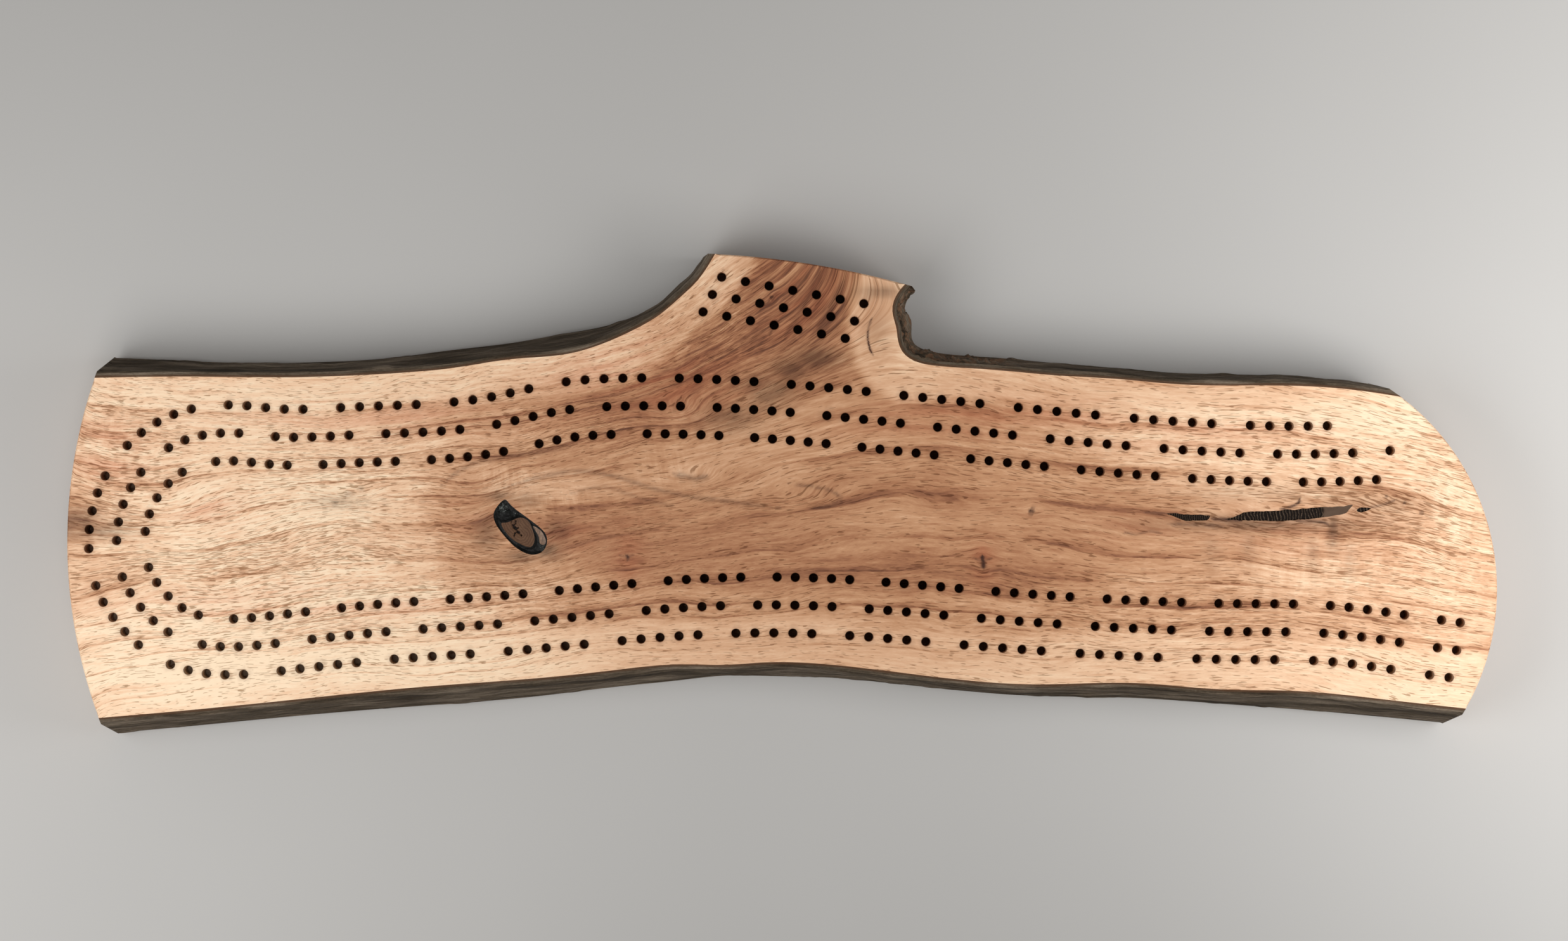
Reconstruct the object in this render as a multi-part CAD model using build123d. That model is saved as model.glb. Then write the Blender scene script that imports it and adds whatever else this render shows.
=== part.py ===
from build123d import *
import math
import os

# A live-edge cribbage board for three players, lying on its five rubber feet.
# Origin: middle of the base, on the table.  +X runs along the board, +Y points out along
# the branch and +Z is up.  All sizes are millimetres.

# ---- driving dimensions -----------------------------------------------------------------
FOOT_HEIGHT = 5.0
SLAB_THICKNESS = 25.0
SLAB_BOTTOM = FOOT_HEIGHT
SLAB_TOP = SLAB_BOTTOM + SLAB_THICKNESS

BARK_THICKNESS = 2.2

HOLE_DIAMETER = 3.2
HOLE_DEPTH = 11.0
TOOL_OVERRUN = 1.0
LANE_SPACING = 9.8
GROUPS_PER_LANE = 24
HOLES_PER_GROUP = 5

COUNTER_ROWS = 3
COUNTER_COLUMNS = 7
COUNTER_START = Vector(-21.2, 76.7)
COUNTER_COLUMN_STEP = Vector(8.31, -1.55)
COUNTER_ROW_STEP = Vector(-3.27, -6.09)

POCKET_LENGTH = 72.0
POCKET_WIDTH = 26.0
POCKET_DEPTH = 9.5
POCKET_CORNER_RADIUS = 3.2
POCKET_START_X = 71.0
BOARD_MIDLINE_Y = -12.0

PIVOT_X = 62.0
COVER_THICKNESS = 1.5
COVER_WIDTH = 34.0
COVER_GAP = 0.1
COVER_OVERHANG = 5.0
COVER_EDGE_CHAMFER = 0.4

SCREW_SHANK_DIAMETER = 3.5
SCREW_LENGTH = 13.0
SCREW_POINT_LENGTH = 3.0
SCREW_HEAD_DIAMETER = 8.0
SCREW_HEAD_HEIGHT = 1.9
SCREW_CROWN_SHARE = 0.55
SCREW_SHOULDER_SHARE = 0.86
SCREW_SHOULDER_HEIGHT_SHARE = 0.35
SCREW_SLOT_WIDTH = 1.0
SCREW_SLOT_DEPTH = 0.8
SCREW_RUNNING_CLEARANCE = 0.08
SCREW_PILOT_CLEARANCE = 0.05

PEG_LENGTH = 30.0
PEG_SHANK_LENGTH = 13.0
PEG_SHANK_RADIUS = 1.5
PEG_TIP_RADIUS = 1.3
PEG_HEAD_RADIUS = 2.3
PEG_PITCH = 4.9
PEG_END_GAP = 2.8
PEG_COVER_GAP = 0.3

FOOT_RADIUS = 8.0
FOOT_TAPER = 1.2
FOOT_EDGE_CHAMFER = 0.8

KNOT_DEPTH = 10.0
CRACK_DEPTH = 6.0

# ---- saw cuts -----------------------------------------------------------------------------
# Each end is sawn square to the table along a circular arc.
LEFT_CUT_CENTRE = Vector(-73.2, -16.2)
LEFT_CUT_RADIUS = 177.45
RIGHT_CUT_CENTRE = Vector(166.0, -32.9)
RIGHT_CUT_RADIUS = 84.65
BRANCH_CUT_CENTRE = Vector(-40.0, -233.3)
BRANCH_CUT_RADIUS = 318.5
BRANCH_CUT_RIGHT_X = 90.0

# ---- live edges ---------------------------------------------------------------------------
# Each row is a point where the wood meets the bark on the top face, and how far the edge
# flares outwards by the time it reaches the underside: (x, y, flare).  The first and last
# points lie outside the saw cuts.
LOWER_EDGE = [
    (-264.0, -79.5, 7.5),
    (-207.5, -75.0, 7.2),
    (-167.5, -71.0, 7.4),
    (-127.5, -67.0, 8.2),
    (-87.5, -64.0, 7.9),
    (-61.0, -61.3, 7.4),
    (-34.0, -59.0, 6.9),
    (-21.0, -59.2, 5.4),
    (-7.5, -58.4, 6.3),
    (19.0, -59.3, 6.1),
    (32.5, -60.8, 5.8),
    (59.0, -64.0, 5.4),
    (86.0, -66.0, 5.6),
    (125.0, -65.6, 6.9),
    (152.5, -67.7, 6.6),
    (179.0, -68.3, 7.9),
    (206.0, -70.7, 7.8),
    (264.0, -76.5, 7.6),
]
UPPER_RIGHT_EDGE = [
    (262.0, 26.0, 4.0),
    (217.5, 34.6, 4.0),
    (195.0, 37.7, 4.0),
    (161.5, 38.7, 4.8),
    (139.0, 39.1, 5.0),
    (117.0, 41.0, 4.8),
    (95.0, 42.3, 5.4),
    (72.5, 44.3, 5.4),
    (54.0, 45.6, 5.8),
    (46.6, 47.2, 6.4),
    (42.4, 50.2, 6.5),
    (40.6, 54.5, 6.2),
    (40.0, 59.0, 6.6),
    (38.9, 63.0, 6.8),
    (38.7, 66.5, 5.6),
    (40.0, 70.2, 4.9),
    (42.9, 74.0, 4.2),
    (50.0, 82.5, 4.0),
]
UPPER_LEFT_EDGE = [
    (-18.0, 93.5, 4.0),
    (-23.6, 84.6, 4.0),
    (-30.0, 75.1, 4.9),
    (-36.0, 69.4, 5.1),
    (-43.2, 63.3, 4.9),
    (-49.5, 59.5, 5.6),
    (-61.0, 54.1, 7.0),
    (-75.0, 49.8, 8.6),
    (-94.0, 48.0, 7.0),
    (-117.0, 44.6, 7.6),
    (-140.0, 42.9, 6.4),
    (-164.0, 41.7, 6.2),
    (-187.0, 41.6, 5.9),
    (-215.0, 41.8, 6.6),
    (-235.0, 41.5, 7.8),
    (-264.0, 41.0, 8.0),
]

LIVE_EDGES = (LOWER_EDGE, UPPER_RIGHT_EDGE, UPPER_LEFT_EDGE)
LIVE_EDGE_COUNT = len(LIVE_EDGES)

# ---- peg lanes ----------------------------------------------------------------------------
# The middle lane runs from the start holes at the lower right, round the left end and back to
# the finish hole.  Each row is a step number along the lane and that step's place: (step, x, y).
MIDDLE_LANE = [
    (0, 236.4, -54.1),
    (3, 216.4, -51.3),
    (7, 189.9, -48.1),
    (11, 163.2, -47.6),
    (15, 136.5, -47.0),
    (27, 56.7, -41.8),
    (33, 17.5, -38.8),
    (39, -21.6, -38.5),
    (51, -99.8, -44.9),
    (57, -138.9, -47.6),
    (63, -177.7, -51.7),
    (67, -203.3, -52.1),
    (69, -215.3, -47.7),
    (71, -224.9, -39.0),
    (73, -231.3, -28.4),
    (75, -233.3, -15.6),
    (79, -224.8, 8.3),
    (81, -215.1, 16.9),
    (85, -190.5, 22.0),
    (87, -177.7, 20.8),
    (91, -151.9, 21.3),
    (97, -113.0, 23.3),
    (99, -100.1, 25.1),
    (103, -74.5, 30.3),
    (105, -61.5, 31.3),
    (111, -22.8, 31.0),
    (123, 54.5, 24.1),
    (135, 133.9, 16.6),
    (141, 173.7, 14.7),
    (147, 213.1, 15.9),
]
FINISH_STEP = MIDDLE_LANE[-1][0]
FIRST_GROUP_STEP = 3
STEPS_PER_GROUP = HOLES_PER_GROUP + 1
# Holes on the outer lane are a little further apart than on the middle one, and on the inner
# lane a little closer together.  The outer lane also starts part of a step further on.
OUTER_LANE_STRETCH = 1.021
OUTER_LANE_LEAD = 0.2
INNER_LANE_STRETCH = 0.977
LANE_SAMPLES_PER_STEP = 10

# ---- knot and crack -----------------------------------------------------------------------
KNOT_HOLE = [
    (-96.5, -1.6), (-94.1, -4.1), (-89.8, -7.3), (-85.3, -10.8), (-82.9, -13.4), (-82.4, -16.3),
    (-84.2, -19.6), (-87.8, -20.6), (-91.3, -19.4), (-94.2, -17.4), (-97.2, -14.2),
    (-99.7, -11.0), (-101.2, -6.6), (-99.8, -3.6),
]
KNOT_HEART = [
    (-97.8, -9.4), (-94.6, -8.6), (-91.6, -7.6), (-89.2, -8.6), (-87.4, -12.2),
    (-86.8, -15.6), (-88.0, -17.8), (-91.6, -16.9), (-95.2, -14.6),
]
KNOT_SLIVER = [
    (-87.0, -10.6), (-84.8, -12.0), (-83.3, -14.2), (-83.2, -17.0), (-84.5, -17.0),
    (-85.4, -14.2),
]
CRACK_MAIN = [
    (154.9, -8.3), (165.7, -8.7), (174.9, -8.9), (184.5, -8.1), (191.0, -7.4), (197.8, -6.0),
    (200.4, -2.9), (196.6, -3.7), (187.8, -3.9), (179.7, -4.7), (168.4, -5.4), (162.5, -5.5),
    (158.5, -7.3),
]
CRACK_LEFT = [
    (134.2, -6.1), (141.0, -6.3), (150.3, -6.9), (149.3, -8.6), (141.0, -8.7), (137.8, -7.3),
]
CRACK_RIGHT = [
    (201.0, -5.0), (202.3, -4.1), (206.9, -4.2), (204.9, -5.3), (201.7, -5.8),
]

# ---- feet: (name, x, y) -------------------------------------------------------------------
FEET = [
    ("foot_lower_left", -212.0, -58.0),
    ("foot_upper_left", -214.0, 26.0),
    ("foot_lower_right", 212.0, -56.0),
    ("foot_upper_right", 195.0, 22.0),
    ("foot_branch", -4.0, 63.0),
]

# ---- pegs: (name, style, end of the pocket, row in that end) --------------------------------
PEG_ORDER = [
    ("peg_brass_1", "ball", 0, 0),
    ("peg_brass_2", "ball", 0, 1),
    ("peg_brass_3", "ball", 0, 2),
    ("peg_steel_1", "cone", 0, 3),
    ("peg_steel_2", "cone", 0, 4),
    ("peg_steel_3", "cone", 1, 0),
    ("peg_black_1", "barrel", 1, 1),
    ("peg_black_2", "barrel", 1, 2),
    ("peg_black_3", "barrel", 1, 3),
]
ROWS_IN_POCKET = 5


def outward_offset(edge, distances):
    """Move each point of an edge, listed with the board on its left, outwards."""
    moved = []
    last = len(edge) - 1
    for index, row in enumerate(edge):
        before = edge[max(index - 1, 0)]
        after = edge[min(index + 1, last)]
        along_x = after[0] - before[0]
        along_y = after[1] - before[1]
        length = math.hypot(along_x, along_y)
        distance = distances[index]
        moved.append((row[0] + distance * along_y / length, row[1] - distance * along_x / length))
    return moved


def edge_points(edge, inset, flare_share):
    """Points of a live edge: bark thickness outwards by inset, flare by its share."""
    distances = [inset + flare_share * row[2] for row in edge]
    return outward_offset(edge, distances)


def live_outline(inset, flare_share, height):
    """Closed outline of the board before it is sawn, at one height."""
    edges = []
    corners = []
    for rows in LIVE_EDGES:
        points = [Vector(x, y, height) for x, y in edge_points(rows, inset, flare_share)]
        corners.append((points[0], points[-1]))
        edges.append(Spline(*points))
    outline = []
    for index in range(LIVE_EDGE_COUNT):
        outline.append(edges[index])
        outline.append(Line(corners[index][1], corners[(index + 1) % LIVE_EDGE_COUNT][0]))
    return Wire(outline)


def flared_solid(top_inset, bottom_inset):
    """Board-shaped solid that widens downwards, with straight rulings down its edges."""
    bottom = live_outline(bottom_inset, 1.0, SLAB_BOTTOM)
    top = live_outline(top_inset, 0.0, SLAB_TOP)
    return Solid.make_loft([bottom, top], ruled=True)


def saw_cut_region():
    """Everything that the three saw cuts leave, as one tall prism."""
    left = LEFT_CUT_CENTRE
    right = RIGHT_CUT_CENTRE
    branch = BRANCH_CUT_CENTRE
    left_top = left + Vector(0, LEFT_CUT_RADIUS)
    left_bottom = left - Vector(0, LEFT_CUT_RADIUS)
    right_top = right + Vector(0, RIGHT_CUT_RADIUS)
    right_bottom = right - Vector(0, RIGHT_CUT_RADIUS)
    corner = Vector(right.X, left_bottom.Y)

    def on_branch_cut(x):
        return Vector(x, branch.Y + math.sqrt(BRANCH_CUT_RADIUS ** 2 - (x - branch.X) ** 2))

    branch_right = on_branch_cut(BRANCH_CUT_RIGHT_X)
    branch_left = on_branch_cut(left.X)
    outline = Wire([
        ThreePointArc(left_top, left - Vector(LEFT_CUT_RADIUS, 0), left_bottom),
        Line(left_bottom, corner),
        Line(corner, right_bottom),
        ThreePointArc(right_bottom, right + Vector(RIGHT_CUT_RADIUS, 0), right_top),
        Line(right_top, branch_right),
        ThreePointArc(branch_right, on_branch_cut(branch.X), branch_left),
        Line(branch_left, left_top),
    ])
    return extrude(Face(outline), SLAB_TOP + SLAB_THICKNESS)


def smooth_prism(points, depth):
    """Closed smooth outline, sunk from the top face to a depth."""
    outline = Spline(*[Vector(x, y, SLAB_TOP) for x, y in points], periodic=True)
    return extrude(Face(Wire(outline)), depth, dir=(0, 0, -1))


def sharp_prism(points, depth):
    """Closed outline with corners, sunk from the top face to a depth."""
    outline = Polyline(*[Vector(x, y, SLAB_TOP) for x, y in points], close=True)
    return extrude(Face(Wire(outline)), depth, dir=(0, 0, -1))


def lane_steps():
    """Step numbers of the holes of one lane: two start holes, then groups of five."""
    steps = [0, 1]
    for group in range(GROUPS_PER_LANE):
        first = FIRST_GROUP_STEP + group * STEPS_PER_GROUP
        steps.extend(range(first, first + HOLES_PER_GROUP))
    return steps


def lane_holes(offset, stretch, lead):
    """Hole places on a lane parallel to the middle one, at an offset to the right of travel."""
    places = [Vector(x, y) for _, x, y in MIDDLE_LANE]
    steps = [step for step, _, _ in MIDDLE_LANE]
    middle = Edge.make_spline(places, parameters=[step / FINISH_STEP for step in steps])
    curve = middle.geom_adaptor()
    samples = FINISH_STEP * LANE_SAMPLES_PER_STEP
    middle_points = [Vector(curve.Value(index / samples)) for index in range(samples + 1)]
    lane_points = []
    for index, point in enumerate(middle_points):
        behind = middle_points[max(index - 1, 0)]
        ahead = middle_points[min(index + 1, samples)]
        along = (ahead - behind).normalized()
        lane_points.append(point + Vector(along.Y, -along.X) * offset)
    # count steps along the lane: a sample's share of a step grows with the lane's length there
    counted = [0.0]
    for index in range(samples):
        lane_length = (lane_points[index + 1] - lane_points[index]).length
        middle_length = (middle_points[index + 1] - middle_points[index]).length
        share = lane_length / middle_length / LANE_SAMPLES_PER_STEP / stretch
        counted.append(counted[-1] + share)
    holes = []
    index = 0
    for step in [number + lead for number in lane_steps()]:
        while index < samples - 1 and counted[index + 1] < step:
            index += 1
        part_way = (step - counted[index]) / (counted[index + 1] - counted[index])
        holes.append(lane_points[index] + (lane_points[index + 1] - lane_points[index]) * part_way)
    return holes


def peg_hole_places():
    """Every peg hole: three lanes, the finish hole and the game counters on the branch."""
    places = lane_holes(0.0, 1.0, 0.0)
    places += lane_holes(-LANE_SPACING, OUTER_LANE_STRETCH, OUTER_LANE_LEAD)
    places += lane_holes(LANE_SPACING, INNER_LANE_STRETCH, 0.0)
    places.append(Vector(MIDDLE_LANE[-1][1], MIDDLE_LANE[-1][2]))
    for row in range(COUNTER_ROWS):
        for column in range(COUNTER_COLUMNS):
            places.append(COUNTER_START + COUNTER_COLUMN_STEP * column + COUNTER_ROW_STEP * row)
    return places


def drill_tool(place, radius, depth):
    """Cylinder that reaches from just above the top face down to a depth."""
    height = depth + TOOL_OVERRUN
    base = Plane(origin=(place.X, place.Y, SLAB_TOP - depth))
    return Solid.make_cylinder(radius, height, base)


def pocket_solid():
    """The peg pocket, open at the underside."""
    centre_x = POCKET_START_X + POCKET_LENGTH / 2
    with BuildPart() as pocket:
        with BuildSketch(Plane.XY.offset(SLAB_BOTTOM)):
            with Locations((centre_x, BOARD_MIDLINE_Y)):
                RectangleRounded(POCKET_LENGTH, POCKET_WIDTH, POCKET_CORNER_RADIUS)
        extrude(amount=POCKET_DEPTH)
    return pocket.part


def storage_cover():
    """Brass plate with round ends that swivels over the pocket."""
    end_radius = COVER_WIDTH / 2
    far_x = POCKET_START_X + POCKET_LENGTH + COVER_OVERHANG
    near_x = PIVOT_X - end_radius
    top = SLAB_BOTTOM - COVER_GAP
    with BuildPart() as plate:
        with BuildSketch(Plane.XY.offset(top - COVER_THICKNESS)):
            with Locations(((near_x + far_x) / 2, BOARD_MIDLINE_Y)):
                SlotOverall(far_x - near_x, COVER_WIDTH)
            with Locations((PIVOT_X, BOARD_MIDLINE_Y)):
                Circle(SCREW_SHANK_DIAMETER / 2 + SCREW_RUNNING_CLEARANCE, mode=Mode.SUBTRACT)
        extrude(amount=COVER_THICKNESS)
        rim = plate.faces().sort_by(Axis.Z)[0].outer_wire().edges()
        chamfer(rim, COVER_EDGE_CHAMFER)
    return plate.part


def pivot_screw(gap):
    """Round-headed slotted screw.  A positive gap grows it, to cut its own hole."""
    shank = SCREW_SHANK_DIAMETER / 2 + gap
    head_top = SLAB_BOTTOM - COVER_GAP - COVER_THICKNESS - COVER_GAP
    head_bottom = head_top - SCREW_HEAD_HEIGHT
    tip = head_top + SCREW_LENGTH + gap
    head = SCREW_HEAD_DIAMETER / 2
    crown = (head * SCREW_CROWN_SHARE, 0, head_bottom)
    shoulder_height = head_bottom + SCREW_HEAD_HEIGHT * SCREW_SHOULDER_HEIGHT_SHARE
    shoulder = (head * SCREW_SHOULDER_SHARE, 0, shoulder_height)
    profile = Wire([
        Line((0, 0, head_bottom), crown),
        ThreePointArc(crown, shoulder, (head, 0, head_top)),
        Line((head, 0, head_top), (shank, 0, head_top)),
        Line((shank, 0, head_top), (shank, 0, tip - SCREW_POINT_LENGTH)),
        Line((shank, 0, tip - SCREW_POINT_LENGTH), (0, 0, tip)),
        Line((0, 0, tip), (0, 0, head_bottom)),
    ])
    body = revolve(Face(profile), Axis.Z)
    return Pos(PIVOT_X, BOARD_MIDLINE_Y, 0) * body


def slotted_screw():
    """The pivot screw with its driver slot."""
    head_bottom = SLAB_BOTTOM - 2 * COVER_GAP - COVER_THICKNESS - SCREW_HEAD_HEIGHT
    slot_length = SCREW_HEAD_DIAMETER + 2 * TOOL_OVERRUN
    slot = Box(slot_length, SCREW_SLOT_WIDTH, 2 * SCREW_SLOT_DEPTH)
    return pivot_screw(0.0) - Pos(PIVOT_X, BOARD_MIDLINE_Y, head_bottom) * slot


def peg_profile(style):
    """Half section of a peg along its length: (distance from the tip, radius)."""
    body_start = PEG_SHANK_LENGTH
    end = PEG_LENGTH
    head = PEG_HEAD_RADIUS
    tip = [(0.0, 0.7), (0.5, PEG_TIP_RADIUS), (body_start, PEG_SHANK_RADIUS)]
    if style == "ball":
        rest = [
            (body_start + 0.2, 2.0), (body_start + 1.2, 2.0), (body_start + 2.4, 1.2),
            (end - 5.6, 1.6), (end - 4.6, 1.3), (end - 3.9, 1.9), (end - 3.0, head),
            (end - 1.6, head), (end - 0.7, 1.9), (end, 0.8),
        ]
    elif style == "cone":
        rest = [
            (body_start + 0.2, 1.9), (body_start + 1.0, 1.9), (body_start + 1.6, 1.4),
            (end - 3.2, head), (end - 2.4, head), (end - 1.8, 1.9), (end - 1.2, head),
            (end - 0.4, head), (end, 1.9),
        ]
    else:
        rest = [
            (body_start + 0.3, 1.9), (body_start + 4.5, head), (end - 6.0, head),
            (end - 2.6, 1.7), (end - 2.0, 1.7), (end - 1.6, 2.1), (end - 0.5, 2.1), (end, 1.6),
        ]
    return tip + rest


def turned_peg(style):
    """A peg lying along +X with its tip at the origin."""
    rim = [(x, 0, radius) for x, radius in peg_profile(style)]
    outline = Polyline((0, 0, 0), *rim, (PEG_LENGTH, 0, 0), close=True)
    return revolve(Face(Wire(outline)), Axis.X)


def stored_peg(style, pocket_end, row):
    """A peg in its place in the pocket.  The two ends hold pegs that point at each other."""
    y = BOARD_MIDLINE_Y + (row - (ROWS_IN_POCKET - 1) / 2) * PEG_PITCH
    z = SLAB_BOTTOM - COVER_GAP + PEG_COVER_GAP + PEG_HEAD_RADIUS
    peg = turned_peg(style)
    if pocket_end == 0:
        x = POCKET_START_X + PEG_END_GAP + PEG_LENGTH
        return Pos(x, y, z) * Rot(0, 0, 180) * peg
    x = POCKET_START_X + POCKET_LENGTH - PEG_END_GAP - PEG_LENGTH
    return Pos(x, y, z) * peg


def rubber_foot(x, y):
    """Round foot that narrows towards the table, with a chamfered lower edge."""
    low = FOOT_RADIUS - FOOT_TAPER
    chamfer_radius = low + FOOT_TAPER * FOOT_EDGE_CHAMFER / FOOT_HEIGHT
    profile = Polyline(
        (0, 0, 0),
        (low - FOOT_EDGE_CHAMFER, 0, 0),
        (chamfer_radius, 0, FOOT_EDGE_CHAMFER),
        (FOOT_RADIUS, 0, FOOT_HEIGHT),
        (0, 0, FOOT_HEIGHT),
        close=True,
    )
    return Pos(x, y, 0) * revolve(Face(Wire(profile)), Axis.Z)


def build():
    """Make every piece of the board in its place."""
    region = saw_cut_region()
    wood_block = flared_solid(0.0, -BARK_THICKNESS)
    barked_block = flared_solid(BARK_THICKNESS, 0.0)
    wood = wood_block & region
    bark = (barked_block & region) - wood_block

    knot_hole = smooth_prism(KNOT_HOLE, KNOT_DEPTH)
    knot_heart = smooth_prism(KNOT_HEART, KNOT_DEPTH)
    knot_sliver = smooth_prism(KNOT_SLIVER, KNOT_DEPTH)
    crack_parts = [sharp_prism(shape, CRACK_DEPTH) for shape in (CRACK_LEFT, CRACK_MAIN, CRACK_RIGHT)]

    tools = [drill_tool(place, HOLE_DIAMETER / 2, HOLE_DEPTH) for place in peg_hole_places()]
    tools.append(pocket_solid())
    tools.append(pivot_screw(SCREW_PILOT_CLEARANCE))
    tools.append(knot_hole)
    tools += crack_parts
    slab = wood.cut(*tools)

    nodes = {"slab": slab}
    strips = sorted(bark.solids(), key=lambda solid: solid.volume)[-LIVE_EDGE_COUNT:]
    for strip in strips:
        centre = strip.center()
        if centre.Y < 0:
            nodes["bark_edge_lower"] = strip
        elif centre.X < 0:
            nodes["bark_edge_upper_left"] = strip
        else:
            nodes["bark_edge_upper_right"] = strip
    nodes["knot_heart"] = knot_heart
    nodes["knot_sliver"] = knot_sliver
    nodes["knot_resin"] = knot_hole - knot_heart - knot_sliver
    nodes["crack_resin"] = Compound(children=crack_parts)
    nodes["storage_cover"] = storage_cover()
    nodes["cover_pivot_screw"] = slotted_screw()
    for name, style, pocket_end, row in PEG_ORDER:
        nodes[name] = stored_peg(style, pocket_end, row)
    for name, x, y in FEET:
        nodes[name] = rubber_foot(x, y)
    return nodes


os.makedirs("parts", exist_ok=True)
for node_name, shape in build().items():
    export_step(shape, os.path.join("parts", node_name + ".step"))
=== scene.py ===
import math

import bpy
import numpy as np
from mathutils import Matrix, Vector
from mathutils.geometry import delaunay_2d_cdt


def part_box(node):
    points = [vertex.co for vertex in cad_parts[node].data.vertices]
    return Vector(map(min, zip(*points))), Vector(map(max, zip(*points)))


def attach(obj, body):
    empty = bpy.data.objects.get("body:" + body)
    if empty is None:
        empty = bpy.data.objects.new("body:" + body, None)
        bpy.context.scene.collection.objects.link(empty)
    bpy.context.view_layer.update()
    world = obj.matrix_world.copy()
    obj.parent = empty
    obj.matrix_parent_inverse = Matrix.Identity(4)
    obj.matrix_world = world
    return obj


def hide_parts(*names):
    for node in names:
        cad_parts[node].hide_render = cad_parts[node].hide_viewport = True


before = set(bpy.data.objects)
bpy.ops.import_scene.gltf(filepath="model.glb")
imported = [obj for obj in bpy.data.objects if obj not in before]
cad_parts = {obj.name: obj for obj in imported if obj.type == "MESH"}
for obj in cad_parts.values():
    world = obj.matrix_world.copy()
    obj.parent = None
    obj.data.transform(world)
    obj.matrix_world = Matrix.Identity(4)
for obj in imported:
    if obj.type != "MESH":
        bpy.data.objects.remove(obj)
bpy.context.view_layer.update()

# Shapes are worked out in millimetres and turned into metres when a mesh is made.
MM = 0.001
SAME_HEIGHT = 0.002
SHARP_ANGLE = math.radians(32)
WORK_CHUNK = 3000
TINY = 1e-12
WELD_STEPS = 1e4
CURVE_STEPS = 6
CURVE_FEWEST_STEPS = 40
CURVE_OVERLAP = 3


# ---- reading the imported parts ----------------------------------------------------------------
def welded_mesh(node):
    """Vertices and triangles of a CAD node, with the vertices at one place made one."""
    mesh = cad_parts[node].data
    places = np.zeros(len(mesh.vertices) * 3, np.float32)
    mesh.vertices.foreach_get("co", places)
    corners = np.zeros(len(mesh.loops), np.int32)
    mesh.loops.foreach_get("vertex_index", corners)
    keys = np.round(places.reshape(-1, 3).astype(float) / MM * WELD_STEPS).astype(np.int64)
    unique, index = np.unique(keys, axis=0, return_inverse=True)
    return unique / WELD_STEPS, index.ravel()[corners].reshape(-1, 3)


def face_outlines(node, height):
    """Closed outlines round the flat face of a CAD node at one height, the widest first."""
    points, triangles = welded_mesh(node)
    level = (np.abs(points[triangles][:, :, 2] - height) < SAME_HEIGHT).all(axis=1)
    flat = triangles[level]
    starts = flat.ravel()
    ends = np.roll(flat, -1, axis=1).ravel()
    total = len(points)
    one_way = starts.astype(np.int64) * total + ends
    other_way = ends.astype(np.int64) * total + starts
    rim = ~np.isin(one_way, other_way)
    following = dict(zip(starts[rim].tolist(), ends[rim].tolist()))
    outlines = []
    while following:
        first, current = following.popitem()
        chain = [first]
        while current != first:
            chain.append(current)
            current = following.pop(current)
        outlines.append(points[chain][:, :2])
    outlines.sort(key=lambda outline: -np.ptp(outline, axis=0).max())
    return outlines


def box_mm(node):
    low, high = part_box(node)
    return np.array(low) / MM, np.array(high) / MM


# ---- lines in the plane ------------------------------------------------------------------------
def signed_area(outline):
    following = np.roll(outline, -1, axis=0)
    return 0.5 * np.sum(outline[:, 0] * following[:, 1] - following[:, 0] * outline[:, 1])


def counter_clockwise(outline):
    return outline if signed_area(outline) > 0 else outline[::-1]


def lengths_along(points):
    """Distance from the first point of an open line to each of its points."""
    steps = np.linalg.norm(np.diff(points, axis=0), axis=1)
    return np.concatenate([[0.0], np.cumsum(steps)])


def smooth_line(points, spacing, closed=False):
    """Evenly spaced points on a smooth curve through the given ones."""
    if closed:
        margin = min(CURVE_OVERLAP, len(points) - 1)
        padded = np.vstack([points[-margin:], points, points[:margin + 1]])
    else:
        margin = 0
        padded = points
    at = lengths_along(padded)
    slopes = np.gradient(padded, at, axis=0)
    start = at[margin]
    end = at[-1 - margin]
    fine_count = max(int((end - start) / spacing * CURVE_STEPS), CURVE_FEWEST_STEPS)
    fine_at = np.linspace(start, end, fine_count)
    index = np.clip(np.searchsorted(at, fine_at, side="right") - 1, 0, len(at) - 2)
    gap = (at[index + 1] - at[index])[:, None]
    t = ((fine_at - at[index]) / gap[:, 0])[:, None]
    fine = (
        (2 * t ** 3 - 3 * t ** 2 + 1) * padded[index]
        + (t ** 3 - 2 * t ** 2 + t) * gap * slopes[index]
        + (3 * t ** 2 - 2 * t ** 3) * padded[index + 1]
        + (t ** 3 - t ** 2) * gap * slopes[index + 1]
    )
    count = max(int(round(lengths_along(fine)[-1] / spacing)), 3)
    even = resampled(fine, count + 1)
    return even[:-1] if closed else even


def resampled(points, count):
    """A number of evenly spaced points along an open line."""
    at = lengths_along(points)
    wanted = np.linspace(0, at[-1], count)
    return np.column_stack([np.interp(wanted, at, points[:, axis]) for axis in (0, 1)])


def split_at_corners(outline, count):
    """Stretches of a closed outline between its sharpest corners, each with both its corners."""
    before = outline - np.roll(outline, 1, axis=0)
    after = np.roll(outline, -1, axis=0) - outline
    turn = np.arctan2(
        before[:, 0] * after[:, 1] - before[:, 1] * after[:, 0],
        np.sum(before * after, axis=1),
    )
    corners = np.sort(np.argsort(-np.abs(turn))[:count])
    stretches = []
    for number, corner in enumerate(corners):
        stop = corners[(number + 1) % len(corners)]
        if stop <= corner:
            stop += len(outline)
        stretches.append(outline[np.arange(corner, stop + 1) % len(outline)])
    return stretches


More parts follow.
